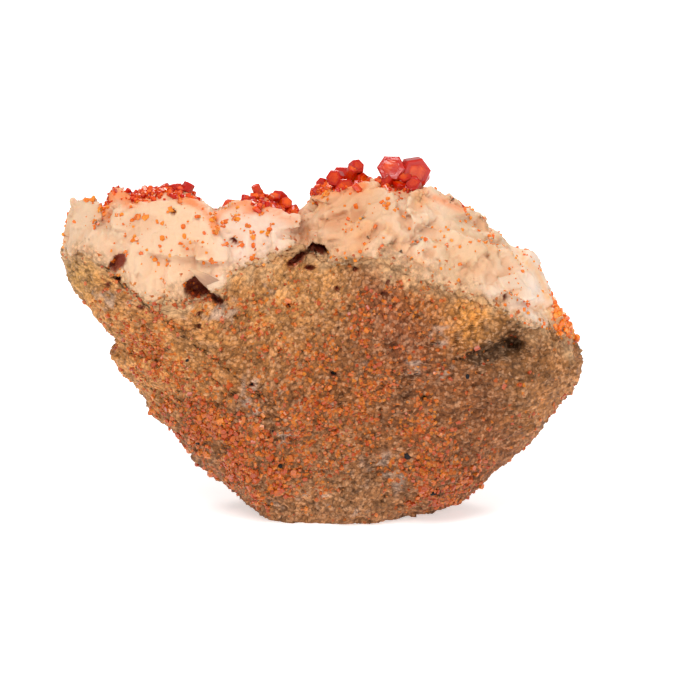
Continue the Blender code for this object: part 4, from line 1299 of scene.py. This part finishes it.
# %% The crust's colours
# Middle (x, z), radius and colour of each zone.
BARITE_ZONES = [
    ((-28.0, 36.0), 5.0, (0.70, 0.478, 0.312)),
    ((-18.0, 36.0), 6.0, (0.79, 0.512, 0.318)),
    ((-7.0, 37.0), 5.0, (0.82, 0.596, 0.461)),
    ((3.0, 38.0), 6.0, (0.68, 0.366, 0.187)),
    ((13.0, 36.5), 6.0, (0.79, 0.559, 0.384)),
    ((19.0, 31.5), 5.0, (0.68, 0.401, 0.198)),
    ((27.0, 29.0), 6.0, (0.85, 0.697, 0.585)),
]


def crust_tint(points, lift, share, dark):
    """Zones, painted tan shade in low places and under ledges, orange where vanadinite coats it, brown at the rock,
    painted shade in hollows.
    """
    more = smooth_step(points[:, 0], -5, 0)
    # Painted shade: low places of the relief are tinted tan, more so on the right.
    low = smooth_step(-lift + 0.12 * soft_noise(points, 1.2, 92), 0.02, 0.4) * (0.35 + 0.25 * more)
    tint = faded(zone_colour(points, BARITE_ZONES), low, (0.76, 0.40, 0.21))
    rust = smooth_step(rough_noise(points, 2.4, 93, 3), 0.2, 0.9) * (0.35 + 0.35 * more)
    tint = faded(tint, rust * (1 - smoothness(points)), (0.76, 0.38, 0.17))
    # Painted shade under ledges.
    tint = faded(tint, ledge_shade_share(points), (0.62, 0.27, 0.12))
    glow = sum(near_path(points, path, 0.9, -7.5) for path in CREST_PATHS.values())
    glow = glow + 0.8 * sum(near_path(points, path, 0.4) for path in GLOWING_EDGES)
    right = smooth_step(points[:, 0], 16, 22)[:, None]
    coat = (0.84, 0.20, 0.03) * (1 - right) + np.array((0.90, 0.42, 0.11)) * right
    tint = faded(tint, np.clip(glow, 0, 1) * 0.8, coat)
    tint = faded(tint, 0.9 * smooth_step(1 - share, 0.1, 0.9), (0.64, 0.36, 0.18))
    # Painted shade in the hollows and pits, as on the rock.
    return faded(tint, smooth_step(dark, 0.15, 0.6), HOLLOW_SHADE_RED)


print("colour zones of the crust:", len(BARITE_ZONES))

# %% [markdown]
# ## The finished crust
# The fused mesh gets the fine relief of cleavage steps, and of grains where it nears the rock.
# What still stands over the crest on the hidden side is pressed back to it.

# %% The crust as a piece
def pressed(points):
    """Moves what stands over the crest, seen by the camera, back to it, but not on the broken side."""
    flat = points[:, [0, 2]] - SLAB_CENTRE
    limit = 1.007 + 0.02 * soft_noise(points, 1.3, 67)
    over = np.clip(seen_share(points) / limit - 1, 0, 0.2) * smooth_step(points[:, 1], -1.0, 1.0)
    points[:, [0, 2]] = SLAB_CENTRE + flat * (1 - over)[:, None]
    return points


crust_points = points_of(crust)
crust_normals = point_normals(crust_points, triangles_of(crust))
share_here = crust_share(crust_points, -1.2, 3.0)
rock_like = 0.85 * (1 - share_here)
crust_points, crust_lift, _, _, crust_hollow_shade = shaped(crust_points, crust_normals, rock_like)
# Where ledge shade is painted, the points are also pushed in a little.
crust_points[:, 1] += 0.5 * ledge_shade_share(crust_points)
crust_points = pressed(crust_points)
set_points(crust, crust_points)
crust.data.shade_smooth()
set_attribute(crust, "tint", crust_tint(crust_points, crust_lift, share_here, crust_hollow_shade))
set_attribute(crust, "grit", 0.8 * (1 - share_here))
set_attribute(crust, "druse", 0.12 * (1 - share_here))
dress(crust, BARITE, "barite", "barite_crust")

# %% [markdown]
# ## Random places on a surface
# Small crystals grow anywhere on the finished surfaces. A particle system could scatter them, but
# its places are hard to steer. Here triangles are drawn with a chance that follows their area
# times a density, and each draw gets a random place on its triangle and that triangle's normal.

# %% Scatter
def scatter(obj, count, density, chooser):
    """Random places on an object's triangles, with the surface normal at each."""
    points, faces = points_of(obj), triangles_of(obj)
    corners = points[faces]
    cross = np.cross(corners[:, 1] - corners[:, 0], corners[:, 2] - corners[:, 0])
    area = np.linalg.norm(cross, axis=1) / 2
    chance = area * density(corners.mean(1), cross / (2 * area[:, None] + 1e-12))
    chosen = chooser.choice(len(faces), count, p=chance / chance.sum())
    u, v = chooser.uniform(size=(2, count))
    flip = u + v > 1
    u, v = np.where(flip, 1 - u, u)[:, None], np.where(flip, 1 - v, v)[:, None]
    place = corners[chosen, 0] * (1 - u - v) + corners[chosen, 1] * u + corners[chosen, 2] * v
    return place, cross[chosen] / np.linalg.norm(cross[chosen], axis=1, keepdims=True)


print("triangles to draw from:", len(triangles_of(rock)), "on the rock,", len(triangles_of(crust)), "on the crust")

# %% [markdown]
# ## Cockscombs of the far side
# A voxel fuse would round the sharp rims of the free blades, so they are a mesh of their own, set
# into the fused crust, and keep their flat faces. Each point is pale at a blade's rim and warmer
# towards its root. One thin flap at the main hollow of the broken side is part of this mesh.

# %% Sharp blades
def crest_blades(chooser, count):
    """Small blades half sunk in the rounded edge behind the crest, their flat faces mostly outward."""
    def density(points, normals):
        band = smooth_step(rim_share(points[:, 0], points[:, 2]), 0.78, 0.9) * smooth_step(points[:, 1], 0.5, 2.0)
        return band * (points[:, 2] > np.interp(points[:, 0], *FAR_EDGE) + 1.5) + 1e-9

    place, normal = scatter(crust, count, density, chooser)
    wide = 0.55 + 1.1 * chooser.uniform(0, 1, count) ** 1.5
    axis = normal * chooser.uniform(0.4, 1.5, (count, 1)) + chooser.normal(scale=0.6, size=(count, 3))
    sizes = np.stack([wide, wide * chooser.uniform(0.6, 0.9, count), chooser.uniform(0.3, 0.5, count)], 1)
    points, faces = copies(SHARP_BLADE, place, axis_frames(axis, chooser.uniform(0, 6, count)), sizes)
    return behind_crest(SHARP_BLADE, points, faces, 1.012)


def cockscomb_tint(points, share):
    """Pale rims, warm roots, brown near the rock; the flap is darkened with painted shade, tan above and deeper
    below.
    """
    deep = smooth_step(crust_back(points[:, 0], points[:, 2]) - points[:, 1], -1.5, 1.5) * (points[:, 1] > 0)
    tint = faded(np.array((0.93, 0.68, 0.52)) * np.ones_like(points), 0.7 * deep, (0.86, 0.50, 0.30))
    shade = 1 + 0.08 * soft_noise(points, 3.0, 96)
    tint = faded(tint * shade[:, None], 0.4 * (1 - share), (0.72, 0.42, 0.22))
    # The flap faces away from the light, so its tint is painted shade: tan, and darker below z = 32.6 mm.
    on_flap = 1.0 * (points[:, 1] < -4)
    tint = faded(tint, on_flap, (0.72, 0.44, 0.25))
    tint = faded(tint, on_flap * smooth_step(-points[:, 2], -33.4, -32.6), (0.45, 0.25, 0.155))
    return np.clip(tint, 0, 0.95)


crest_set = crest_blades(np.random.RandomState(34), 620)
sharp_points, sharp_faces = join_sets(*far_blades, crest_set, plate(*FLAP, 20))
cockscomb_mesh = object_from("barite_cockscombs", sharp_points, sharp_faces, smooth=False)
sharp_share = np.where(sharp_points[:, 1] > 0, crust_share(sharp_points, -1.2, 3.0), 1)
set_attribute(cockscomb_mesh, "tint", cockscomb_tint(sharp_points, sharp_share))
set_attribute(cockscomb_mesh, "grit", 0.3 * (1 - sharp_share))
set_attribute(cockscomb_mesh, "druse", 0.0 * sharp_share)
dress(cockscomb_mesh, THIN_BARITE, "barite")

# %% [markdown]
# ## The large vanadinite crystals
# Each group that the photograph shows on the crest is listed crystal by crystal, with its
# middle, radius, length and three turns. They are the same crystals that the solids have.

# %% Crystals listed one by one
# x, y, z, radius, length, compass, climb and turn in degrees.
TWIN_CRYSTALS = [
    (8.7, -1.4, 43.7, 1.75, 1.8, -100, 25, 0),
    (11.5, -1.0, 43.3, 2.0, 2.3, -76, 3, 6),
    (10.2, -2.0, 42.8, 1.0, 1.5, -84, 40, 20),
    (8.2, -2.3, 42.4, 0.8, 1.3, -120, 30, 0),
    (11.4, -2.4, 42.0, 1.0, 1.4, -100, 24, 10),
    (9.6, -2.0, 41.5, 1.1, 2.2, -80, 60, 0),
    (12.0, 0.6, 42.3, 1.2, 2.2, 40, 40, 0),
    (9.0, 0.8, 42.4, 1.3, 2.0, 120, 36, 12),
]
SPRAY_CRYSTALS = [
    (4.2, -0.8, 43.8, 0.95, 1.3, -52, 34, 0),
    (3.5, -1.2, 42.8, 0.75, 2.6, -60, 58, 10),
    (1.7, -1.2, 42.5, 1.15, 1.7, -112, 16, 0),
    (4.6, -1.0, 42.2, 1.05, 1.6, -40, 16, 14),
    (2.9, -1.8, 41.5, 1.2, 1.8, -92, 12, 0),
    (0.2, -0.8, 41.6, 0.8, 1.6, -140, 30, 0),
    (-0.5, -0.9, 40.6, 0.8, 1.7, -150, 10, 20),
    (2.4, 0.8, 42.2, 1.3, 2.2, 80, 40, 0),
    (1.6, -0.6, 41.0, 1.4, 2.6, 180, 60, 0),
]
SADDLE_CRYSTALS = [
    (-8.0, -0.2, 40.5, 0.65, 2.6, 150, 62, 0),
    (-7.9, -0.8, 39.3, 0.85, 1.8, -110, 20, 0),
    (-6.0, -0.2, 39.7, 0.85, 1.4, -80, 62, 12),
    (-6.3, -1.2, 38.8, 1.0, 1.6, -95, 16, 0),
    (-4.6, -0.8, 39.2, 0.95, 1.5, -60, 30, 8),
    (-3.9, -0.9, 38.4, 0.9, 1.8, -30, 14, 0),
    (-9.3, -0.7, 39.0, 0.7, 1.6, -130, 24, 0),
    (-5.6, 0.8, 39.2, 1.3, 2.4, 70, 40, 0),
    (-8.0, 0.9, 39.1, 1.1, 2.2, 110, 40, 16),
]
print("placed by hand:", len(TWIN_CRYSTALS) + len(SPRAY_CRYSTALS) + len(SADDLE_CRYSTALS), "crystals")

# %% [markdown]
# ## Fans of prisms
# The other groups come from a seeded fan of prisms, the same one that made their solids. Each is
# given by its place, its side, the number of its crystals and their radius.

# %% Fans of prisms
# Name, x, z, side (-1 is the broken one), number of crystals, radius.
CRUSTS = [
    ("vanadinite_left_tip", -25.8, 39.3, -1, 5, 0.95),
    ("vanadinite_left_crest", -18.6, 40.6, 1, 7, 1.15),
    ("vanadinite_right_edge", 31.0, 22.8, -1, 4, 0.85),
    ("vanadinite_far_upper_left", -23.6, 34.6, 1, 5, 1.4),
    ("vanadinite_far_lower_left", -18.0, 28.2, 1, 5, 1.6),
    ("vanadinite_far_left_pair", -11.8, 35.0, 1, 4, 1.7),
    ("vanadinite_far_left_rosette", -11.6, 25.6, 1, 5, 1.6),
    ("vanadinite_far_middle_rosette", -3.4, 29.4, 1, 6, 1.9),
    ("vanadinite_far_top_rosette", 3.6, 34.6, 1, 5, 1.6),
    ("vanadinite_far_middle_low", 2.6, 21.4, 1, 4, 1.3),
    ("vanadinite_far_right_rosette", 10.4, 27.4, 1, 6, 1.8),
    ("vanadinite_far_right_crest", 16.0, 36.0, 1, 4, 1.4),
    ("vanadinite_far_right_pair", 20.2, 28.4, 1, 4, 1.6),
    ("vanadinite_far_right_tip", 25.6, 23.8, 1, 4, 1.3),
]


def fan_of_crystals(x, z, side, count, radius, seed):
    """Prisms round one place: the first stands straight out and the others lean away from it."""
    chooser = np.random.RandomState(seed)
    if float(rim_share(x, z)) > 0.93:
        x = SLAB_CENTRE[0] + (x - SLAB_CENTRE[0]) * 0.985
        z = SLAB_CENTRE[1] + (z - SLAB_CENTRE[1]) * 0.985
        out = Vector((0.25 * (x - SLAB_CENTRE[0]) / 30, 0.25 * side, 1.0)).normalized()
        y = 0.45 * side
    else:
        out = Vector(outward(np.array(x), np.array(z), side))
        y = float((crust_back if side > 0 else crust_front)(x, z))
    root = Vector((x, y, z)) + out * radius * 0.15
    across = out.orthogonal().normalized()
    found = []
    for i in range(count):
        turn = 2 * math.pi * i / max(count - 1, 1) + chooser.uniform(-0.3, 0.3)
        reach = 0.0 if i == 0 else radius * chooser.uniform(0.95, 1.35)
        away = Matrix.Rotation(turn, 3, out) @ across
        size = radius * (1.1 if i == 0 else chooser.uniform(0.6, 1.0))
        long = size * chooser.uniform(1.3, 2.0)
        axis = (out + away * (0.0 if i == 0 else chooser.uniform(0.3, 0.9))).normalized()
        place = root + away * reach + axis * size * chooser.uniform(0.1, 0.45)
        compass = math.degrees(math.atan2(axis.y, axis.x))
        climb = math.degrees(math.asin(max(-1.0, min(1.0, axis.z))))
        found.append((*place, size, long, compass, climb, chooser.uniform(0, 60)))
    return found


print("fans:", len(CRUSTS), "with", sum(row[4] for row in CRUSTS), "crystals")

# %% [markdown]
# ## Small crystals at their feet
# Large crystals never stand alone. Small ones coat the crust along the crest paths, or round the
# feet of a group. CREST_GRAIN gives their number for each path point and their radii.

# %% Small crystals
# Number for each path point, smallest radius, largest radius.
CREST_GRAIN = {
    "vanadinite_left_tip": (30, 0.1, 0.24), "vanadinite_left_crest": (50, 0.14, 0.4),
    "vanadinite_right_edge": (60, 0.1, 0.42),
}


def small_crystals(name, rows, chooser):
    """Prisms of 0.1 to 0.55 mm radius that coat the crust along the group's path, or round its feet."""
    low, high = 0.25, 0.55
    if name in CREST_PATHS:
        path, (each, low, high) = CREST_PATHS[name], CREST_GRAIN.get(name, (44, 0.14, 0.48))
        count = each * len(path)

        def density(points, normals):
            return near_path(points, path, 0.9 if "right" in name else 0.55, -6.0) + 1e-9
    else:
        count, feet = 26, rows[:, :3]

        def density(points, normals):
            square = np.min(np.sum((points[:, None] - feet) ** 2, 2), 1)
            return np.exp(-square / 1.6**2) + 1e-9

    place, normal = scatter(crust, count, density, chooser)
    wide = low + (high - low) * chooser.uniform(0, 1, count) ** 2
    axis = normal + chooser.normal(scale=0.45, size=(count, 3)) + (0, 0, 0.4)
    sizes = np.stack([wide, wide, wide * chooser.uniform(1.6, 2.8, count)], 1)
    frames = axis_frames(axis, chooser.uniform(0, 6, count))
    return copies(FINE_PRISM, place + normal * (0.35 * wide)[:, None], frames, sizes)


print("paths with a grain of their own:", sorted(CREST_GRAIN))

# %% [markdown]
# ## The groups as pieces
# One mesh holds a group, its large prisms and the small ones. Each crystal has a random tone,
# darker along its edges and brighter in the middle of its ends, as thin and thick glass are.
# Groups of the far side that would stand up over the crest are lowered a little.

# %% Crystal groups
# What each point of a prism adds to the tone: cap, six rings, cap.
PRISM_ZONES = np.concatenate([[0.2], np.repeat([-0.3, -0.35, -0.3, -0.4, 0.1, 0.2], 6), [0.25]])
CRYSTAL_DROP = 19


def zoned_tones(tones):
    """Each crystal's tone, darker along its edges and brighter at the middle of its ends."""
    return (tones[:, None] + PRISM_ZONES).ravel()


def crystal_group(name, crystals, tone=(0.0, 0.7), shrink=1.0, material=RED):
    """One group of fine prisms, with a random tone for each, and small prisms round their feet."""
    chooser = np.random.RandomState(len(name))
    rows = np.array(crystals)
    rows[:, 3:5] *= shrink
    if name.startswith("vanadinite_far"):
        over = seen_share(rows[:, :3] + rows[:, 3:4] * (0, 0, 0.9)) - 1
        rows[:, 2] -= CRYSTAL_DROP * np.clip(over, 0, MOST_OVER)
    sizes = np.stack([rows[:, 3], rows[:, 3], rows[:, 4]], 1) * chooser.uniform(0.93, 1.05, (len(rows), 3))
    large = copies(FINE_PRISM, rows[:, :3], look_matrices(rows[:, 5], rows[:, 6], rows[:, 7]), sizes)
    tones = chooser.uniform(*tone, len(rows))
    small = small_crystals(name, rows, chooser)
    small_tones = chooser.uniform(0.1, 1.2, len(small[0]) // len(FINE_PRISM[0]))
    obj = object_from(name.replace("vanadinite_", "red_crystals_"), *join_sets(large, small), smooth=False)
    set_attribute(obj, "tone", zoned_tones(np.concatenate([tones, small_tones])))
    dress(obj, material, "vanadinite", name)


GROUP_LOOKS = {
    "vanadinite_left_tip": {"shrink": 0.5},
    "vanadinite_left_crest": {"tone": (-0.2, 0.5), "shrink": 0.72},
    "vanadinite_right_edge": {"tone": (0.0, 0.6), "shrink": 0.6, "material": AMBER},
}
crystal_group("vanadinite_twin_crystals", TWIN_CRYSTALS, tone=(-0.25, 0.1))
crystal_group("vanadinite_centre_spray", SPRAY_CRYSTALS, tone=(-0.2, 0.5))
crystal_group("vanadinite_saddle_cluster", SADDLE_CRYSTALS, shrink=0.85)
for seed, (name, *place) in enumerate(CRUSTS):
    crystal_group(name, fan_of_crystals(*place, seed), **GROUP_LOOKS.get(name, {}))

# %% [markdown]
# ## Scattered crystals of the far side
# Between the rosettes single crystals sit on the crust and on the blades, mostly small, a few as
# large as those of the crest. They come in clumps, more of them towards the top.

# %% Scattered crystals
def on_far_side(points, normals):
    """Clumps of crystals on the side with the cockscombs, more towards the top."""
    clumps = smooth_step(rough_noise(points, 5.0, 57, 2), -0.1, 0.9)
    outside = smooth_step(normals[:, 1], 0.0, 0.6) * smooth_step(points[:, 1], 1, 4)
    return (0.05 + clumps) * outside * (points[:, 2] > 16)


def far_crystals(name, host, count, seed):
    """Prisms of 0.35 to 1.2 mm radius, mostly small, that stand out of the host's surface."""
    chooser = np.random.RandomState(seed)
    place, normal = scatter(host, count, on_far_side, chooser)
    wide = 0.35 + 0.85 * chooser.uniform(0, 1, count) ** 2.2
    axis = normal + chooser.normal(scale=0.5, size=(count, 3))
    sizes = np.stack([wide, wide, wide * chooser.uniform(1.2, 2.2, count)], 1)
    frames = axis_frames(axis, chooser.uniform(0, 6, count))
    points, faces = copies(FINE_PRISM, place + normal * (0.3 * wide)[:, None], frames, sizes)
    points, faces = behind_crest(FINE_PRISM, points, faces)
    obj = object_from(name, points, faces, smooth=False)
    set_attribute(obj, "tone", zoned_tones(chooser.uniform(0.0, 0.8, len(points) // len(FINE_PRISM[0]))))
    dress(obj, RED, "vanadinite")


far_crystals("red_crystals_far_side", crust, 190, 77)
far_crystals("red_crystals_on_cockscombs", cockscomb_mesh, 150, 78)

# %% [markdown]
# ## The druse of tiny crystals
# Thousands of orange prisms under a millimetre long cover the rock, which is what gives it its
# sparkle. They are real mesh, with 24 triangles each, sunk a little in the surface. The larger and
# redder ones have a call of their own, at the spots where they show.

# %% Tiny crystals on the rock
def tiny_crystals(name, host, count, density, size_range, seed, tone, stand, material=ORANGE):
    """Small prisms sunk in the host's surface. Most are near the small end of the size range."""
    chooser = np.random.RandomState(seed)
    place, normal = scatter(host, count, density, chooser)
    axis = normal + chooser.normal(scale=0.8, size=(count, 3))
    axis += normal * np.clip(0.2 - np.sum(axis * normal, 1, keepdims=True), 0, None)
    low, high = size_range
    wide = low + (high - low) * chooser.uniform(size=count) ** 2.0
    flat, long = chooser.uniform(0.6, 1.0, count), chooser.uniform(1.3, 2.4, count)
    sizes = wide[:, None] * np.stack([np.ones(count), flat, long], 1)
    place = place + normal * (stand * wide)[:, None]
    points, faces = copies(TINY_PRISM, place, axis_frames(axis, chooser.uniform(0, 6, count)), sizes)
    points[:, 2] = np.maximum(points[:, 2], 0.02)
    obj = object_from(name, points, faces, smooth=False)
    set_attribute(obj, "tone", np.repeat(chooser.uniform(*tone, count), len(TINY_PRISM[0])))
    dress(obj, material, "vanadinite")


# x, z, radius, and how dense the crystals are.
RED_SPOTS = [(-11.5, 9.5, 3.6, 1.0), (-7.0, 7.0, 3.0, 0.8), (-17.0, 13.5, 2.5, 0.6), (15.5, 4.2, 2.6, 0.8)]


def on_rock(points, normals):
    front = smooth_step(-normals[:, 1], -0.5, 0.2)
    return druse_chance(points) * (0.3 + front) * (points[:, 2] > 0.7)


def on_red_zone(points, normals):
    patchy = smooth_step(soft_noise(points, 1.8, 58), -0.3, 0.5)
    return near_spots(points, RED_SPOTS) * patchy * (points[:, 2] > 0.9) * (points[:, 1] < 2)


tiny_crystals("orange_druse_on_rock", rock, 4100, on_rock, (0.1, 0.32), 101, (-0.2, 0.75), -0.1)
tiny_crystals("red_druse_on_rock", rock, 560, on_red_zone, (0.18, 0.52), 104, (-0.2, 1.0), -0.15)

# %% [markdown]
# ## Orange dots on the barite
# The pale crust is dotted with fine orange crystals, most along the crest, on the right and on the
# far side. The larger dots of the broken side are clusters, and each has its own place and radius
# in ORANGE_SPOTS.

# %% Tiny crystals on the crust
def on_barite(points, normals):
    patchy = smooth_step(soft_noise(points, 3.0, 55), 0.1, 0.8)
    back = smooth_step(normals[:, 1], -0.3, 0.3)
    crest = np.exp(-((rim_share(points[:, 0], points[:, 2]) - 0.97) / 0.05) ** 2)
    right = smooth_step(points[:, 0], 22, 30)
    return 0.10 + patchy * (0.3 + 0.8 * back + 0.5 * crest + 1.0 * right)


# x, z, radius.
ORANGE_SPOTS = np.array([
    (-22.9, 40.5, 0.24), (-24.9, 39.0, 0.24), (-22.1, 39.1, 0.24), (-23.0, 38.9, 0.24), (-27.4, 39.4, 0.24),
    (-27.0, 39.1, 0.24), (-28.5, 38.7, 0.24), (-28.2, 37.8, 0.24), (-24.3, 38.0, 0.24), (-24.1, 37.0, 0.24),
    (-23.0, 36.5, 0.24), (-19.5, 36.8, 0.24), (-19.4, 38.0, 0.24), (-17.6, 40.8, 0.24), (-17.3, 38.3, 0.24),
    (-18.5, 39.7, 0.24), (-17.2, 36.0, 0.24), (-16.7, 36.9, 0.24), (-15.5, 36.6, 0.24), (-14.6, 36.2, 0.24),
    (-20.8, 34.4, 0.24), (-22.2, 35.3, 0.24), (-18.5, 35.1, 0.24), (-20.1, 33.9, 0.24), (-13.6, 34.4, 0.24),
    (-29.2, 40.2, 0.24), (-28.4, 40.3, 0.24), (-32.1, 37.4, 0.24), (-32.5, 34.9, 0.24), (-25.9, 35.5, 0.24),
    (-24.3, 35.0, 0.24), (-25.9, 33.7, 0.24), (-13.3, 38.9, 0.5), (-13.0, 37.7, 0.36), (-12.1, 37.8, 0.3),
    (-10.8, 38.6, 0.3), (-9.4, 37.6, 0.42), (-8.5, 37.0, 0.28), (-10.6, 36.6, 0.22), (-10.0, 35.9, 0.26),
    (-11.9, 35.9, 0.22), (-8.5, 35.4, 0.3), (-8.4, 34.6, 0.3), (-11.3, 32.6, 0.22), (-10.3, 32.0, 0.22),
    (-6.7, 37.1, 0.22), (-6.3, 37.9, 0.22), (-10.9, 40.2, 0.22), (-7.4, 39.7, 0.22), (0.8, 41.2, 0.22),
    (4.5, 42.0, 0.22), (4.5, 40.4, 0.22), (7.5, 40.7, 0.22), (8.0, 40.6, 0.22), (9.0, 40.1, 0.22),
    (9.6, 40.7, 0.22), (6.6, 38.2, 0.22), (7.9, 40.7, 0.22),
])


def on_spots(points, normals):
    near = near_spots(points, [(*spot, 1) for spot in ORANGE_SPOTS])
    return near * (points[:, 1] < -2) + 1e-9


tiny_crystals("orange_druse_on_barite", crust, 2600, on_barite, (0.06, 0.26), 102, (0.0, 1.0), 0.0, AMBER)
tiny_crystals("orange_spots_on_barite", crust, 380, on_spots, (0.12, 0.38), 103, (0.0, 0.9), -0.2, AMBER)

# %% [markdown]
# ## Dark grains
# A few black grains of ore sit in the rock. They are placed one by one, and each is a lumpy little
# ball at the point of the rock's face that is nearest to its place.

# %% Black grains
# x, z, radius.
BLACK_GRAINS = np.array([
    (-15.5, 10.2, 0.5), (10.6, 9.4, 0.7), (12.6, 16.8, 0.5), (1.4, 20.2, 0.5), (-8.7, 18.7, 0.45),
    (-5.2, 8.2, 0.4), (0.8, 31.2, 0.45), (7.5, 30.5, 0.5), (23.7, 23.9, 0.7), (13.9, 4.3, 0.5), (-16.7, 21.7, 0.3),
    (4.6, 25.5, 0.4), (-18.2, 39.7, 0.35), (-6.0, 13.0, 0.25), (18.0, 20.0, 0.4), (-23.0, 20.0, 0.3),
])


def black_grain_points():
    """Copies of a seven-sided lump, each at the front point of the rock or crust nearest to its (x, z)."""
    hosts = np.concatenate([rock_points, crust_points])
    hosts = hosts[hosts[:, 1] < -2]
    gaps = np.sum((hosts[None, :, [0, 2]] - BLACK_GRAINS[:, None, :2]) ** 2, 2)
    place = hosts[np.argmin(gaps, axis=1)]
    lump = turned_template(7, [(0.45, -0.8), (0.95, -0.35), (1.0, 0.2), (0.6, 0.75)])
    radius = BLACK_GRAINS[:, 2:] * (0.9, 0.7, 0.7)
    frames = axis_frames(np.random.RandomState(9).normal(size=(len(place), 3)), place[:, 0])
    return copies(lump, place, frames, radius)


black, black_tree, black_shader = node_material("black_ore")
feed(black_tree, black_shader, {
    "Base Color": (0.016, 0.015, 0.016, 1), "Roughness": 0.6, "Specular IOR Level": 0.15,
})
grains = object_from("black_grains", *black_grain_points(), smooth=False)
dress(grains, black, "matrix_rock")

# %% [markdown]
# ## Floor
# The finished specimen stands on a wide white floor that runs out of sight. The floor shines a
# little by itself, which keeps the shadow pale without washing out the stone.

# %% Floor
FLOOR_HALF = 3.0


def build_floor():
    mesh = bpy.data.meshes.new("white_floor")
    corners = [(x * FLOOR_HALF, y * FLOOR_HALF, 0) for x, y in ((-1, -1), (1, -1), (1, 1), (-1, 1))]
    mesh.from_pydata(corners, [], [(0, 1, 2, 3)])
    floor = bpy.data.objects.new("white_floor", mesh)
    bpy.context.scene.collection.objects.link(floor)
    material, tree, shader = node_material("white_card")
    feed(tree, shader, {
        "Base Color": (0.9, 0.9, 0.9, 1), "Roughness": 0.7, "Specular IOR Level": 0.1,
        "Emission Color": (1, 1, 1, 1), "Emission Strength": 0.5,
    })
    mesh.materials.append(material)
    print("floor:", 2 * FLOOR_HALF, "m wide")


build_floor()

# %% [markdown]
# ## Light
# A large soft light from above shapes the stone, one from the right opens the shadows and one from
# behind draws a bright line along the crystals. The world is brighter for the camera than it is as
# a light, so the space around the stone is white while the stone keeps its contrast.

# %% World and lights
def area_light(name, place, target, size, power):
    light = bpy.data.lights.new(name, "AREA")
    light.shape = "RECTANGLE"
    light.size, light.size_y = size
    light.energy = power
    obj = bpy.data.objects.new(name, light)
    obj.location = place
    obj.rotation_euler = (Vector(target) - Vector(place)).to_track_quat("-Z", "Y").to_euler()
    bpy.context.scene.collection.objects.link(obj)


def build_room(as_light, as_background):
    """A white world with one strength for light and another for what the camera sees."""
    world = bpy.data.worlds.new("white_room")
    world.use_nodes = True
    tree = world.node_tree
    background = tree.nodes["Background"]
    feed(tree, background, {"Color": (1, 1, 1, 1), "Strength": as_light})
    bright = new_node(tree, "Background", {"Strength": as_background})
    seen = new_node(tree, "LightPath", {}).outputs["Is Camera Ray"]
    mix = new_node(tree, "MixShader", {"Fac": seen, 1: background.outputs[0], 2: bright.outputs[0]})
    feed(tree, tree.nodes["World Output"], {"Surface": mix.outputs[0]})
    bpy.context.scene.world = world


middle = (0, 0, 0.02)
build_room(0.48, 1.05)
area_light("softbox_above", (-0.12, -0.3, 0.5), middle, (0.3, 0.3), 2.4)
area_light("softbox_right", (0.45, -0.3, 0.25), middle, (0.2, 0.3), 0.5)
area_light("softbox_behind", (0.1, 0.45, 0.4), middle, (0.3, 0.2), 1.2)
bpy.context.scene.view_settings.view_transform = "Standard"
print("lights:", len(bpy.data.lights))

# %% [markdown]
# ## Camera
# A long lens from far away keeps the specimen's proportions. Its focal length follows from the
# size that one pixel of the photograph covers at the specimen.

# %% Camera
# The point the camera looks at, and its distance from there, in mm.
TARGET = (3.465, SHIFT_Y, 20.28)
CAMERA_DISTANCE = 600.0
PIXELS, PIXEL_SIZE = 700, 0.126


def build_camera():
    climb = math.radians(CAMERA_CLIMB)
    target = Vector(TARGET) * MM
    place = target + Vector((0, -math.cos(climb), math.sin(climb))) * CAMERA_DISTANCE * MM
    camera = bpy.data.cameras.new("camera")
    camera.sensor_width = 36.0
    camera.lens = camera.sensor_width * CAMERA_DISTANCE / (PIXELS * PIXEL_SIZE)
    obj = bpy.data.objects.new("camera", camera)
    obj.location = place
    obj.rotation_euler = (target - place).to_track_quat("-Z", "Y").to_euler()
    bpy.context.scene.collection.objects.link(obj)
    bpy.context.scene.camera = obj
    print("lens:", round(camera.lens, 1), "mm")


build_camera()
